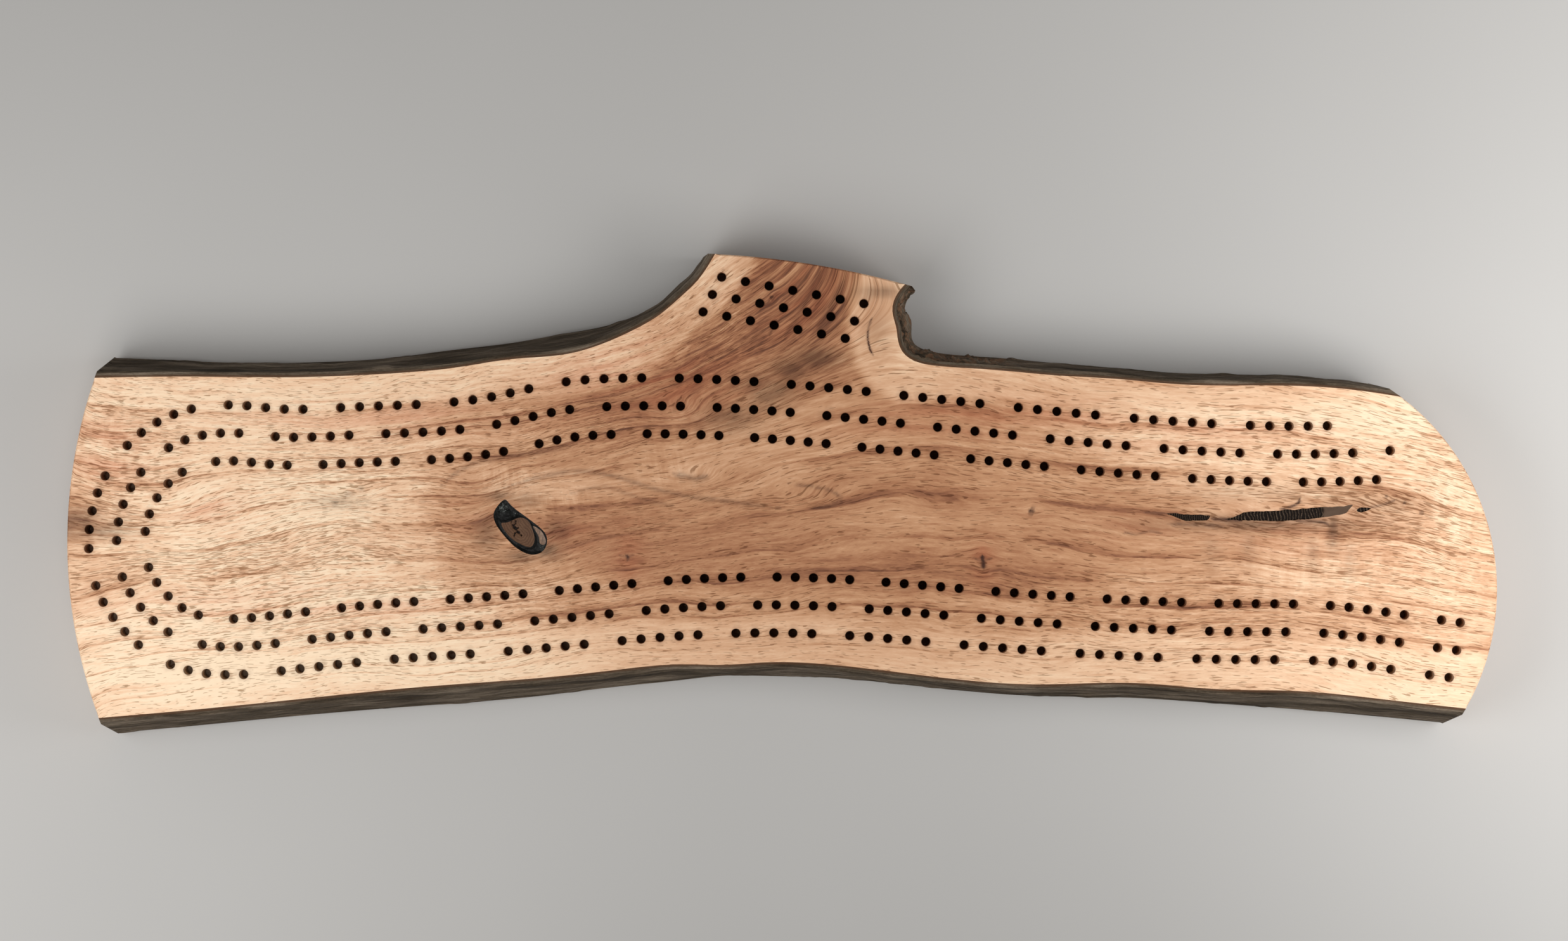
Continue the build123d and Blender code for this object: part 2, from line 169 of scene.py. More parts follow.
def nearest_on_line(points, line):
    """Distance from each point to an open line, and how far along it the nearest place is."""
    starts = line[:-1]
    runs = np.diff(line, axis=0)
    squares = np.maximum(np.sum(runs ** 2, axis=1), TINY)
    at = lengths_along(line)
    distances = np.zeros(len(points))
    places = np.zeros(len(points))
    for begin in range(0, len(points), WORK_CHUNK):
        part = points[begin:begin + WORK_CHUNK]
        offset = part[:, None, :] - starts[None, :, :]
        share = np.clip(np.sum(offset * runs[None], axis=2) / squares, 0, 1)
        gap = np.linalg.norm(offset - share[:, :, None] * runs[None], axis=2)
        best = gap.argmin(axis=1)
        rows = np.arange(len(part))
        distances[begin:begin + WORK_CHUNK] = gap[rows, best]
        places[begin:begin + WORK_CHUNK] = at[best] + share[rows, best] * np.sqrt(squares[best])
    return distances, places / at[-1]


def inside(points, outline):
    """Which points lie inside a closed outline."""
    result = np.zeros(len(points), bool)
    ahead = np.roll(outline, -1, axis=0)
    rise = ahead[:, 1] - outline[:, 1]
    rise = np.where(np.abs(rise) < TINY, TINY, rise)
    for begin in range(0, len(points), WORK_CHUNK):
        x = points[begin:begin + WORK_CHUNK, 0][:, None]
        y = points[begin:begin + WORK_CHUNK, 1][:, None]
        crosses = (outline[None, :, 1] > y) != (ahead[None, :, 1] > y)
        crossing_x = outline[:, 0] + (y - outline[:, 1]) / rise * (ahead[:, 0] - outline[:, 0])
        result[begin:begin + WORK_CHUNK] = (crosses & (x < crossing_x)).sum(axis=1) % 2 == 1
    return result


def closed_line(outline):
    return np.vstack([outline, outline[:1]])


def directions(line):
    """Unit steps along an open line, one at each of its points."""
    along = np.gradient(line, axis=0)
    return along / np.linalg.norm(along, axis=1)[:, None]


NOISE_FACTORS = (374761393, 668265263, 1442695041)
NOISE_MIXER = 1274126177
NOISE_WORD = 0xFFFFFFFF
NOISE_HALF_RANGE = 32767.5
LAYER_SEED_STEP = 17


def lattice_noise(x, y, seed):
    """Smooth noise from -1 to 1 whose features are about one unit wide."""
    column = np.floor(x).astype(np.int64)
    row = np.floor(y).astype(np.int64)
    across = x - column
    up = y - row
    across = across * across * (3 - 2 * across)
    up = up * up * (3 - 2 * up)

    def knot(i, j):
        mixed = (i * NOISE_FACTORS[0] + j * NOISE_FACTORS[1] + seed * NOISE_FACTORS[2]) & NOISE_WORD
        mixed = ((mixed ^ (mixed >> 13)) * NOISE_MIXER) & NOISE_WORD
        return ((mixed ^ (mixed >> 16)) & 0xFFFF) / NOISE_HALF_RANGE - 1

    lower = knot(column, row) * (1 - across) + knot(column + 1, row) * across
    upper = knot(column, row + 1) * (1 - across) + knot(column + 1, row + 1) * across
    return lower * (1 - up) + upper * up


def layered_noise(x, y, seed, layers=4):
    """Several sizes of noise added up, each half the size and half the height of the last."""
    total = np.zeros(np.broadcast(x, y).shape)
    for layer in range(layers):
        scale = 2 ** layer
        total += lattice_noise(x * scale, y * scale, seed + LAYER_SEED_STEP * layer) / scale
    return total


def smooth_step(value, low, high):
    share = np.clip((value - low) / (high - low), 0, 1)
    return share * share * (3 - 2 * share)


# ---- the board's outlines ----------------------------------------------------------------------
ROUND_THE_BOARD = ("lower", "right_cut", "upper_right", "branch_cut", "upper_left", "left_cut")
SAW_CUTS = ("right_cut", "branch_cut", "left_cut")
LIVE_EDGES = ("lower", "upper_right", "upper_left")
OUTLINE_SPACING = 1.8
ROUND_SPREAD = 0.05
ROUND_FEWEST_SIDES = 20
FLOOR_MARGIN = 1.0


def named_stretches(outline):
    """The six stretches of the board's outline: three live edges and three saw cuts."""
    stretches = split_at_corners(counter_clockwise(outline), len(ROUND_THE_BOARD))
    middles = [stretch.mean(axis=0) for stretch in stretches]
    order = sorted(range(len(stretches)), key=lambda i: middles[i][0])
    named = {"left_cut": order[0], "right_cut": order[-1]}
    rest = sorted(order[1:-1], key=lambda i: middles[i][1])
    named["lower"] = rest[0]
    named["branch_cut"] = rest[-1]
    sides = sorted(rest[1:-1], key=lambda i: middles[i][0])
    named["upper_left"] = sides[0]
    named["upper_right"] = sides[-1]
    return {name: stretches[index] for name, index in named.items()}


SLAB_LOW, SLAB_HIGH = box_mm("slab")
TOP = SLAB_HIGH[2]
BOTTOM = SLAB_LOW[2]
THICKNESS = TOP - BOTTOM

top_outlines = face_outlines("slab", TOP)
bottom_outlines = face_outlines("slab", BOTTOM)
top_stretches = named_stretches(top_outlines[0])
bottom_stretches = named_stretches(bottom_outlines[0])

top_lines = {}
bottom_lines = {}
for stretch_name in ROUND_THE_BOARD:
    fine_top = smooth_line(top_stretches[stretch_name], OUTLINE_SPACING)
    fine_bottom = smooth_line(bottom_stretches[stretch_name], OUTLINE_SPACING)
    top_lines[stretch_name] = fine_top
    bottom_lines[stretch_name] = resampled(fine_bottom, len(fine_top))

# Openings in the top face: round peg holes, and the pockets of the knot and the crack.
hole_centres = []
patch_outlines = []
for opening in top_outlines[1:]:
    centre = opening.mean(axis=0)
    radii = np.linalg.norm(opening - centre, axis=1)
    if len(opening) > ROUND_FEWEST_SIDES and np.ptp(radii) < ROUND_SPREAD:
        hole_centres.append(centre)
        HOLE_RADIUS = radii.mean()
    else:
        patch_outlines.append(counter_clockwise(opening))
hole_centres = np.array(sorted(hole_centres, key=lambda c: (round(c[0], 2), round(c[1], 2))))
knot_outline = patch_outlines[np.argmin([abs(p[:, 0]).mean() for p in patch_outlines])]
crack_outlines = [p for p in patch_outlines if p is not knot_outline]


def hole_floor_height():
    """Height of the floors of the peg holes: the level below the top that has most vertices."""
    points, _ = welded_mesh("slab")
    levels, counts = np.unique(np.round(points[:, 2], 2), return_counts=True)
    between = (levels > BOTTOM + FLOOR_MARGIN) & (levels < TOP - FLOOR_MARGIN)
    return levels[between][counts[between].argmax()]


HOLE_FLOOR = hole_floor_height()
KNOT_FLOOR = box_mm("knot_resin")[0][2]
CRACK_FLOOR = box_mm("crack_resin")[0][2]

# ---- how the grain runs --------------------------------------------------------------------------
# "across" is a height from the lower edge, which the grain lines keep; "along" runs with them.
ACROSS_SPAN = 105.0
BRANCH_SPLIT = 0.66
RIGHT_END_SHARE = 0.72
OUTSIDE_SLOPE = 0.008
GRID_STEPS = (8.0, 4.0, 2.0)
GRID_ROUNDS = (700, 700, 900)
GRID_MARGIN = 24.0
NEAR_STEPS = 2.5
SPREAD_ROUNDS = 6
FIRST_GUESS_FROM_Y = -70.0
LENGTH_TO_BRANCH = 300.0
LENGTH_TO_RIGHT = 508.0
# The grain runs on past the curved right end, to a straight end that it meets squarely.
GRAIN_END = (256.0, -20.0)
GRAIN_END_SLOPE = -0.17
GRAIN_END_POINTS = 5


def branch_profile(share):
    """Grain height along the branch's saw cut, from its right corner (0) to its left one (1)."""
    return np.interp(share, [0.0, 0.20, 0.36, 0.60, 1.0], [BRANCH_SPLIT, 0.67, 0.72, 0.84, 1.0])


def upper_right_profile(share):
    """Grain height along the upper right edge, from the right end (0) to the branch (1)."""
    return np.interp(share, [0.0, 0.55, 0.8, 1.0],
                     [RIGHT_END_SHARE, 0.69, BRANCH_SPLIT, BRANCH_SPLIT])


def grain_sides():
    """Lines round the region in which the grain is solved: the underside's, with a new right end."""
    sides = dict(bottom_lines)
    square = np.array([1.0, GRAIN_END_SLOPE])

    def reaching_end(last, before):
        run = last - before
        return last + run * (square @ (np.array(GRAIN_END) - last)) / (square @ run)

    lower = sides["lower"]
    upper = sides["upper_right"]
    lower_end = reaching_end(lower[-1], lower[-1 - GRAIN_END_POINTS])
    upper_end = reaching_end(upper[0], upper[GRAIN_END_POINTS])
    sides["lower"] = np.vstack([lower, lower_end])
    sides["right_cut"] = np.array([lower_end, upper_end])
    sides["upper_right"] = np.vstack([upper_end, upper])
    return sides


def grid_places(step):
    low = SLAB_LOW[:2] - GRID_MARGIN
    high = SLAB_HIGH[:2] + GRID_MARGIN
    columns = np.arange(low[0], high[0] + step, step)
    rows = np.arange(low[1], high[1] + step, step)
    return columns, rows


def sampled(field, columns, rows, points):
    """Value of a gridded field at each point, by bilinear interpolation."""
    step = columns[1] - columns[0]
    x = np.clip((points[:, 0] - columns[0]) / step, 0, len(columns) - 1.001)
    y = np.clip((points[:, 1] - rows[0]) / step, 0, len(rows) - 1.001)
    i = x.astype(int)
    j = y.astype(int)
    fx = x - i
    fy = y - j
    low = field[j, i] * (1 - fx) + field[j, i + 1] * fx
    high = field[j + 1, i] * (1 - fx) + field[j + 1, i + 1] * fx
    return low * (1 - fy) + high * fy


def neighbour_sum(array):
    """Sum of each cell's four neighbours."""
    edged = np.pad(array, 1)
    return edged[:-2, 1:-1] + edged[2:, 1:-1] + edged[1:-1, :-2] + edged[1:-1, 2:]


def relaxed(values, free, known, rounds):
    """Averages each free cell over its free and known neighbours until the field is smooth."""
    weight = (free | known).astype(float)
    count = neighbour_sum(weight)
    movable = free & (count > 0)
    count = np.maximum(count, 1)
    for _ in range(rounds):
        values = np.where(movable, neighbour_sum(values * weight) / count, values)
    return values


def spread_outwards(values, filled):
    """Carries the field a few cells past its rim."""
    for _ in range(SPREAD_ROUNDS):
        weight = filled.astype(float)
        count = neighbour_sum(weight)
        reached = ~filled & (count > 0)
        average = neighbour_sum(values * weight) / np.maximum(count, 1)
        values = np.where(reached, average, values)
        filled = filled | reached
    return values


def grain_fields():
    """Solves for the two grain fields on finer and finer grids."""
    sides = grain_sides()
    outline = np.vstack([sides[name][:-1] for name in ROUND_THE_BOARD])
    fields = None
    for step, rounds in zip(GRID_STEPS, GRID_ROUNDS):
        columns, rows = grid_places(step)
        x, y = np.meshgrid(columns, rows)
        cells = np.column_stack([x.ravel(), y.ravel()])
        within = inside(cells, outline)
        gaps, shares = zip(*(nearest_on_line(cells, sides[name]) for name in ROUND_THE_BOARD))
        nearest = np.argmin(gaps, axis=0)
        gap = np.min(gaps, axis=0)
        share = np.array(shares)[nearest, np.arange(len(cells))]
        side = np.array(ROUND_THE_BOARD)[nearest]
        near = ~within & (gap < NEAR_STEPS * step)
        outside = gap * OUTSIDE_SLOPE
        across = np.select(
            [side == "lower", side == "upper_left", side == "upper_right", side == "branch_cut"],
            [-outside, 1 + outside, upper_right_profile(share) + outside, branch_profile(share)],
            0.0,
        )
        along = np.select(
            [side == "left_cut", side == "right_cut", side == "branch_cut"],
            [-gap, LENGTH_TO_RIGHT + gap, LENGTH_TO_BRANCH + gap],
            0.0,
        )
        across_known = near & (side != "left_cut") & (side != "right_cut")
        along_known = near & np.isin(side, SAW_CUTS)
        shape = x.shape
        within = within.reshape(shape)
        if fields is None:
            guesses = [np.clip((y - FIRST_GUESS_FROM_Y) / ACROSS_SPAN, 0, 1), x - columns[0]]
        else:
            guesses = [sampled(field, *fields[2], cells).reshape(shape) for field in fields[:2]]
        solved = []
        for guess, value, known in zip(guesses, (across, along), (across_known, along_known)):
            known = known.reshape(shape)
            start = np.where(known, value.reshape(shape), guess)
            answer = relaxed(start, within, known, rounds)
            solved.append(spread_outwards(answer, within | known))
        fields = (*solved, (columns, rows))
    return fields


# The grain bends round these places: (x, y, half length, half width, strength).
GRAIN_BULGES = [
    (-92.0, -11.0, 15.0, 12.0, 0.80),
    (-54.2, -21.3, 3.6, 3.6, 0.60),
    (70.4, -22.8, 3.4, 4.5, 0.60),
    (87.5, -5.3, 5.0, 3.6, 0.70),
    (171.0, -6.0, 42.0, 8.0, 0.72),
    (125.0, -10.5, 16.0, 4.5, 0.50),
    (-3.6, 69.4, 3.0, 3.0, 0.60),
]
# The grain lines close round these places: (x, y, half length, half width, height).
GRAIN_LOOPS = [
    (9.0, -1.5, 19.0, 4.5, 2.6),
    (-31.0, 6.0, 12.0, 3.5, 3.0),
    (-107.0, 4.5, 13.0, 6.0, 3.6),
    (-150.0, 0.0, 14.0, 3.0, 2.2),
    (-36.0, 29.0, 12.0, 5.0, 4.0),
    (60.0, -4.0, 18.0, 4.0, 1.8),
    (214.0, -4.5, 16.0, 5.0, 1.4),
    (-214.0, -6.0, 18.0, 7.0, 2.5),
]
# The grain leans round these places: (x, y, half length, half width, slope).
GRAIN_TILTS = [
    (-190.0, -8.0, 55.0, 16.0, 0.12),
    (228.0, -22.0, 26.0, 20.0, -0.10),
    (-232.0, -34.0, 22.0, 12.0, 0.16),
]
# The branch grain leans to the right above this height.
BRANCH_LEAN_FROM_Y = 40.0
BRANCH_LEAN_MIDDLE = 2.0
BRANCH_LEAN_REACH = 30.0
BRANCH_LEAN = 0.14


def nearness(points, x, y, long, wide):
    """Offset of each point from a soft spot's middle, and how near it lies, from 0 to 1."""
    offset = points - (x, y)
    return offset, np.exp(-(offset[:, 0] / long) ** 2 - (offset[:, 1] / wide) ** 2)


def grain_coordinates(points, fields):
    """(along, across) of each place, in millimetres."""
    warped = points.astype(float).copy()
    for *spot, strength in GRAIN_BULGES:
        offset, close = nearness(points, *spot)
        warped[:, 1] -= offset[:, 1] * strength * close
    across = sampled(fields[0], *fields[2], warped) * ACROSS_SPAN
    along = sampled(fields[1], *fields[2], points)
    for *spot, height in GRAIN_LOOPS:
        across += height * nearness(points, *spot)[1]
    for *spot, slope in GRAIN_TILTS:
        offset, close = nearness(points, *spot)
        across -= slope * offset[:, 0] * close
    rise = np.clip(points[:, 1] - BRANCH_LEAN_FROM_Y, 0, None)
    close = np.exp(-((points[:, 0] - BRANCH_LEAN_MIDDLE) / BRANCH_LEAN_REACH) ** 2)
    across += BRANCH_LEAN * rise * close
    return along, across


# ---- colour zones of the wood --------------------------------------------------------------------
# Depth of colour from 0 (cream) to 1 (dark heart) round each place:
# (x, y, half length, half width, depth).
# Besides the wood's own tone, some marks paint the uneven light on the board: the middle,
# chiefly along its lower edge (y -38 to -52), is painted darker as painted shade where less light falls.
BASE_TONE = 0.42
BASE_TONE_WEIGHT = 0.10
TONE_AND_SHADE_MARKS = [
    (-235.0, 7.0, 16.0, 28.0, 0.30),
    (-248.0, -8.0, 7.0, 8.0, 0.78),
    (-200.0, -8.0, 30.0, 26.0, 0.09),
    (-170.0, -12.0, 30.0, 24.0, 0.02),
    (-137.0, -10.0, 13.0, 18.0, 0.28),
    (-150.0, 22.0, 40.0, 7.0, 0.22),
    (-112.0, -4.0, 14.0, 8.0, 0.68),
    (-79.0, -11.0, 6.0, 4.0, 0.80),
    (-70.0, 14.5, 34.0, 5.0, 0.64),
    (-104.0, -24.0, 11.0, 7.0, 0.58),
    (-75.0, -38.0, 14.0, 5.0, 0.62),
    (-95.0, -30.0, 18.0, 10.0, 0.50),
    (-100.0, 27.0, 30.0, 6.0, 0.58),
    (-88.0, 4.0, 14.0, 4.0, 0.44),
    (-60.0, 30.0, 22.0, 7.0, 0.88),
    (-37.0, 29.0, 8.0, 4.0, 0.62),
    (-28.0, 48.0, 14.0, 12.0, 0.88),
    (-2.0, 62.0, 11.0, 14.0, 0.98),
    (15.0, 66.0, 6.0, 8.0, 1.10),
    (8.0, 47.0, 10.0, 7.0, 0.80),
    (14.0, 76.0, 8.0, 10.0, 0.96),
    (0.0, 78.0, 7.0, 8.0, 0.94),
    (31.0, 60.0, 7.0, 12.0, 0.74),
    (-20.0, 12.0, 30.0, 8.0, 0.54),
    (-30.0, -10.0, 40.0, 9.0, 0.74),
    (-5.0, -24.0, 50.0, 8.0, 0.86),
    (60.0, -25.0, 40.0, 7.0, 0.86),
    (60.0, 27.0, 40.0, 7.0, 0.70),
    (145.0, 26.0, 40.0, 6.0, 0.16),
    (20.0, 18.0, 30.0, 8.0, 0.52),
    (80.0, 5.0, 40.0, 12.0, 0.64),
    (85.0, -14.0, 25.0, 8.0, 0.72),
    (120.0, -8.0, 14.0, 6.0, 0.66),
    (140.0, -22.0, 25.0, 10.0, 0.58),
    (150.0, 14.0, 40.0, 8.0, 0.26),
    (85.0, 39.0, 40.0, 6.0, 0.68),
    (165.0, 36.0, 34.0, 6.0, 0.60),
    (170.0, -12.0, 34.0, 4.0, 0.62),
    (205.0, -4.0, 18.0, 4.0, 0.52),
    (200.0, -30.0, 30.0, 14.0, 0.38),
    (238.0, -5.0, 14.0, 30.0, 0.24),
    (205.0, 24.0, 30.0, 9.0, 0.14),
    (120.0, -47.0, 55.0, 9.0, 0.50),
    (0.0, -38.0, 60.0, 6.0, 0.54),
    (20.0, -52.0, 80.0, 6.0, 0.76),
    (-140.0, -45.0, 50.0, 12.0, 0.06),
    (-210.0, -50.0, 30.0, 14.0, 0.00),
]
# Width of the cream sapwood along the live edges, by place along them.
SAPWOOD_LOWER = (
    [-250.0, -150.0, -60.0, 0.0, 80.0, 160.0, 250.0],
    [20.0, 16.0, 15.0, 15.0, 17.0, 18.0, 19.0],
)
SAPWOOD_UPPER = (
    [-250.0, -120.0, -70.0, -45.0, -30.0, 20.0, 40.0, 60.0, 120.0, 180.0, 250.0],
    [12.0, 13.0, 15.0, 15.0, 12.0, 16.0, 16.0, 11.0, 10.0, 13.0, 16.0],
)
# Soft spots of one look each: (x, y, half length, half width, amount).
GREY_STAINS = [
    (12.0, 48.5, 10.0, 4.0, 0.85),
    (3.0, 44.5, 7.0, 4.5, 0.80),
    (-5.0, 36.5, 9.0, 5.0, 1.00),
    (-18.0, 27.0, 11.0, 5.0, 0.75),
    (34.0, 71.5, 9.0, 2.2, 0.80),
    (-103.5, -13.0, 5.0, 6.0, 0.85),
    (-98.0, -0.5, 6.0, 2.6, 0.80),
    (-92.0, -21.0, 7.0, 2.6, 0.75),
    (-82.0, -19.5, 5.0, 3.4, 0.95),
    (-79.0, -12.0, 5.5, 4.5, 0.60),
    (-90.0, -1.5, 6.0, 3.0, 0.60),
    (-247.0, -10.0, 9.0, 5.0, 0.95),
    (-240.0, -12.0, 12.0, 3.6, 0.70),
    (-156.0, -2.0, 9.0, 2.6, 0.45),
    (150.6, -20.0, 3.5, 8.0, 0.30),
    (163.5, -17.0, 2.8, 9.0, 0.34),
    (193.0, -12.0, 2.6, 7.0, 0.95),
    (186.0, -20.0, 2.0, 7.0, 0.40),
    (199.0, -22.0, 1.6, 8.0, 0.35),
    (208.0, -3.0, 24.0, 5.0, 0.36),
    (168.0, -9.5, 36.0, 3.6, 0.85),
    (200.0, -7.0, 20.0, 4.0, 0.35),
    (172.0, 0.5, 34.0, 3.0, 0.35),
    (-96.0, 1.5, 6.0, 4.0, 0.25),
    (34.0, 57.0, 6.0, 8.0, 0.30),
]
PINK_BANDS = [
    (-130.0, 27.0, 80.0, 6.5, 0.45),
    (-170.0, -38.0, 70.0, 6.0, 0.55),
    (-45.0, 42.0, 34.0, 14.0, 0.90),
    (5.0, 70.0, 20.0, 18.0, 0.70),
    (70.0, 28.0, 50.0, 7.0, 0.75),
    (150.0, 22.0, 50.0, 6.0, 0.45),
    (-54.0, -21.0, 5.0, 12.0, 0.70),
    (70.4, -22.0, 4.0, 10.0, 0.75),
    (-76.0, -13.0, 9.0, 6.0, 0.70),
    (125.0, -11.0, 18.0, 5.0, 0.60),
    (-236.0, 16.0, 14.0, 14.0, 0.70),
    (-200.0, -6.0, 12.0, 7.0, 0.70),
    (178.0, -14.0, 40.0, 8.0, 0.35),
    (-112.0, -8.0, 14.0, 10.0, 0.35),
]
SPECKLED_PLACES = [
    (-230.0, 5.0, 26.0, 42.0, 1.00),
    (-180.0, -30.0, 60.0, 30.0, 1.00),
    (-110.0, -36.0, 50.0, 12.0, 0.80),
    (-150.0, 5.0, 50.0, 20.0, 0.75),
    (150.0, -45.0, 80.0, 20.0, 0.70),
    (215.0, -10.0, 45.0, 45.0, 1.00),
    (160.0, 18.0, 70.0, 14.0, 0.80),
    (-90.0, 24.0, 60.0, 10.0, 0.50),
]
RIPPLED_PLACES = [
    (-96.0, 5.5, 9.0, 5.0, 1.00),
    (-78.0, -2.0, 12.0, 5.0, 0.90),
    (-38.0, 10.0, 12.0, 7.0, 0.70),
    (-36.0, 29.0, 10.0, 5.0, 0.60),
    (-50.0, -11.0, 6.0, 6.0, 0.50),
    (236.0, -10.0, 16.0, 40.0, 0.60),
    (190.0, -26.0, 34.0, 12.0, 0.60),
    (-236.0, 14.0, 14.0, 16.0, 0.60),
    (30.0, 58.0, 12.0, 10.0, 0.60),
    (-90.0, -34.0, 16.0, 8.0, 0.45),
]
# Dark marks that follow short lines: (width, amount, [(x, y), ...]).
DARK_LINES = [
    (0.35, 1.00, [(31.7, 62.6), (30.2, 58.5), (30.0, 55.5), (30.8, 51.5), (32.2, 48.4)]),
    (0.55, 0.80, [(173.8, -4.9), (178.0, -3.9), (180.9, -2.4), (181.7, -0.6)]),
    (0.70, 0.85, [(150.0, -7.8), (156.0, -8.4), (161.0, -8.6)]),
    (0.60, 0.60, [(156.0, -8.6), (160.5, -7.4), (165.0, -6.2)]),
    (0.55, 0.65, [(180.0, -8.8), (186.0, -8.9), (190.5, -9.6), (192.4, -10.9)]),
    (0.45, 0.55, [(205.0, -4.2), (211.0, -3.0), (215.5, -1.2)]),
    (0.40, 0.50, [(127.0, -5.9), (133.0, -6.0), (139.0, -6.2)]),
    (0.80, 0.55, [(135.0, -9.9), (146.0, -10.0), (155.5, -11.0)]),
    (0.60, 0.85, [(-54.9, -20.4), (-54.0, -21.6), (-54.3, -23.2)]),
    (0.40, 0.45, [(-57.4, -20.7), (-54.2, -21.4), (-51.6, -20.4)]),
    (0.90, 0.90, [(70.0, -20.6), (70.4, -22.8), (70.6, -25.8)]),
    (0.45, 0.55, [(67.0, -21.8), (70.4, -22.8), (74.0, -21.6)]),
    (1.30, 0.90, [(86.6, -5.0), (88.4, -5.7)]),
    (0.45, 0.45, [(118.0, -12.2), (124.0, -13.4), (129.0, -12.4), (134.0, -13.4)]),
    (0.70, 0.75, [(-4.2, 69.2), (-3.2, 70.0)]),
    (0.60, 0.55, [(-4.2, 68.6), (-6.6, 66.6)]),
    (0.50, 0.45, [(-2.0, 62.0), (-4.5, 56.0)]),
    (0.90, 0.35, [(14.3, 80.0), (10.0, 72.0), (5.0, 62.0), (0.0, 55.0)]),
    (0.90, 0.32, [(22.5, 76.5), (17.0, 66.0), (13.0, 57.0)]),
    (0.60, 0.40, [(-160.0, -5.0), (-152.0, 0.5), (-145.0, 3.0)]),
    (0.80, 0.35, [(-120.5, 3.0), (-112.0, 9.5), (-98.0, 13.5), (-84.0, 15.5), (-70.0, 19.0)]),
    (0.80, 0.40, [(-98.0, 2.5), (-84.0, 6.8), (-70.0, 8.6), (-58.0, 6.6), (-46.0, 2.8), (-34.0, 0.0),
                  (-20.0, -1.8), (0.0, -4.5)]),
    (0.60, 0.30, [(-76.0, 0.5), (-62.0, 3.0), (-50.0, -0.8), (-36.0, -4.0)]),
    (0.55, 0.50, [(2.0, 4.3), (10.0, 3.4), (17.0, 1.8), (20.6, -0.9), (16.0, -3.4), (8.0, -4.8)]),
    (1.10, 0.45, [(-38.5, 8.0), (-31.0, 6.2), (-25.0, 6.8)]),
    (0.60, 0.60, [(211.4, 0.2), (212.2, -0.6)]),
    (0.70, 0.70, [(217.8, -2.1), (218.5, -2.8)]),
    (0.70, 0.65, [(223.4, -5.6), (224.8, -6.0)]),
    (0.35, 0.60, [(244.0, -7.0), (247.0, -8.2), (248.5, -7.6)]),
]


# A drawn line is worked out only this far from it, and it thins towards its ends.
LINE_REACH = 6.0
LINE_SPACING = 0.5
LINE_TAPER = 8.0
LINE_THINNEST = 0.25
FAR_FROM_SAPWOOD = -99.0


def spots(points, marks):
    """Greatest amount at each place from a list of soft spots."""
    total = np.zeros(len(points))
    for *spot, amount in marks:
        total = np.maximum(total, amount * nearness(points, *spot)[1])
    return total


def tones_with_painted_shade(points):
    """Blended depth of colour at each place, with the painted shade of the tone marks."""
    weights = np.full(len(points), BASE_TONE_WEIGHT)
    total = weights * BASE_TONE
    for *spot, depth in TONE_AND_SHADE_MARKS:
        weight = nearness(points, *spot)[1]
        weights += weight
        total += weight * depth
    return total / weights


def dark_lines(points):
    """How dark the drawn grain lines and checks are at each place."""
    total = np.zeros(len(points))
    for width, amount, places in DARK_LINES:
        line = np.array(places)
        if len(line) > 2:
            line = smooth_line(line, LINE_SPACING)
        low = line.min(axis=0) - LINE_REACH
        high = line.max(axis=0) + LINE_REACH
        near = ((points > low) & (points < high)).all(axis=1)
        distance, share = nearest_on_line(points[near], line)
        taper = np.clip(np.minimum(share, 1 - share) * LINE_TAPER, LINE_THINNEST, 1)
        total[near] = np.maximum(total[near], amount * np.exp(-(distance / (width * taper)) ** 2))
    return total


def sapwood_depth(points, heights):
    """How far each place lies inside the sapwood, in millimetres; negative in the heart."""
    level = np.clip((heights - BOTTOM) / THICKNESS, 0, 1)
    depth = np.full(len(points), FAR_FROM_SAPWOOD)
    for name, (places, widths) in (
        ("lower", SAPWOOD_LOWER),
        ("upper_left", SAPWOOD_UPPER),
        ("upper_right", SAPWOOD_UPPER),
    ):
        at_top, _ = nearest_on_line(points, top_lines[name])
        at_bottom, _ = nearest_on_line(points, bottom_lines[name])
        distance = at_top * level + at_bottom * (1 - level)
        depth = np.maximum(depth, np.interp(points[:, 0], places, widths) - distance)
    return depth


# ---- making meshes -----------------------------------------------------------------------------
NO_POINTS = np.zeros((0, 2))
SAME_PLACE = 1e-7
SLIVER = 1e-9
ROW_SPACING = 0.87
SCATTER = 0.12


def add_piece(name, vertices, faces, material, replaced=(), body="board", attributes=None):
    """Makes a mesh in metres from millimetres, and hangs it on its body."""
    mesh = bpy.data.meshes.new(name)
    mesh.from_pydata((np.asarray(vertices, float) * MM).tolist(), [], faces)
    for key, values in (attributes or {}).items():
        values = np.asarray(values, np.float32)
        kind = "FLOAT" if values.ndim == 1 else "FLOAT_VECTOR"
        layer = mesh.attributes.new(key, kind, "POINT")
        layer.data.foreach_set("value" if values.ndim == 1 else "vector", values.ravel())
    mesh.polygons.foreach_set("use_smooth", [True] * len(mesh.polygons))
    mesh.set_sharp_from_angle(angle=SHARP_ANGLE)
    mesh.materials.append(material)
    piece = bpy.data.objects.new(name, mesh)
    bpy.context.scene.collection.objects.link(piece)
    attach(piece, body)
    if replaced:
        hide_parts(*replaced)
    return piece


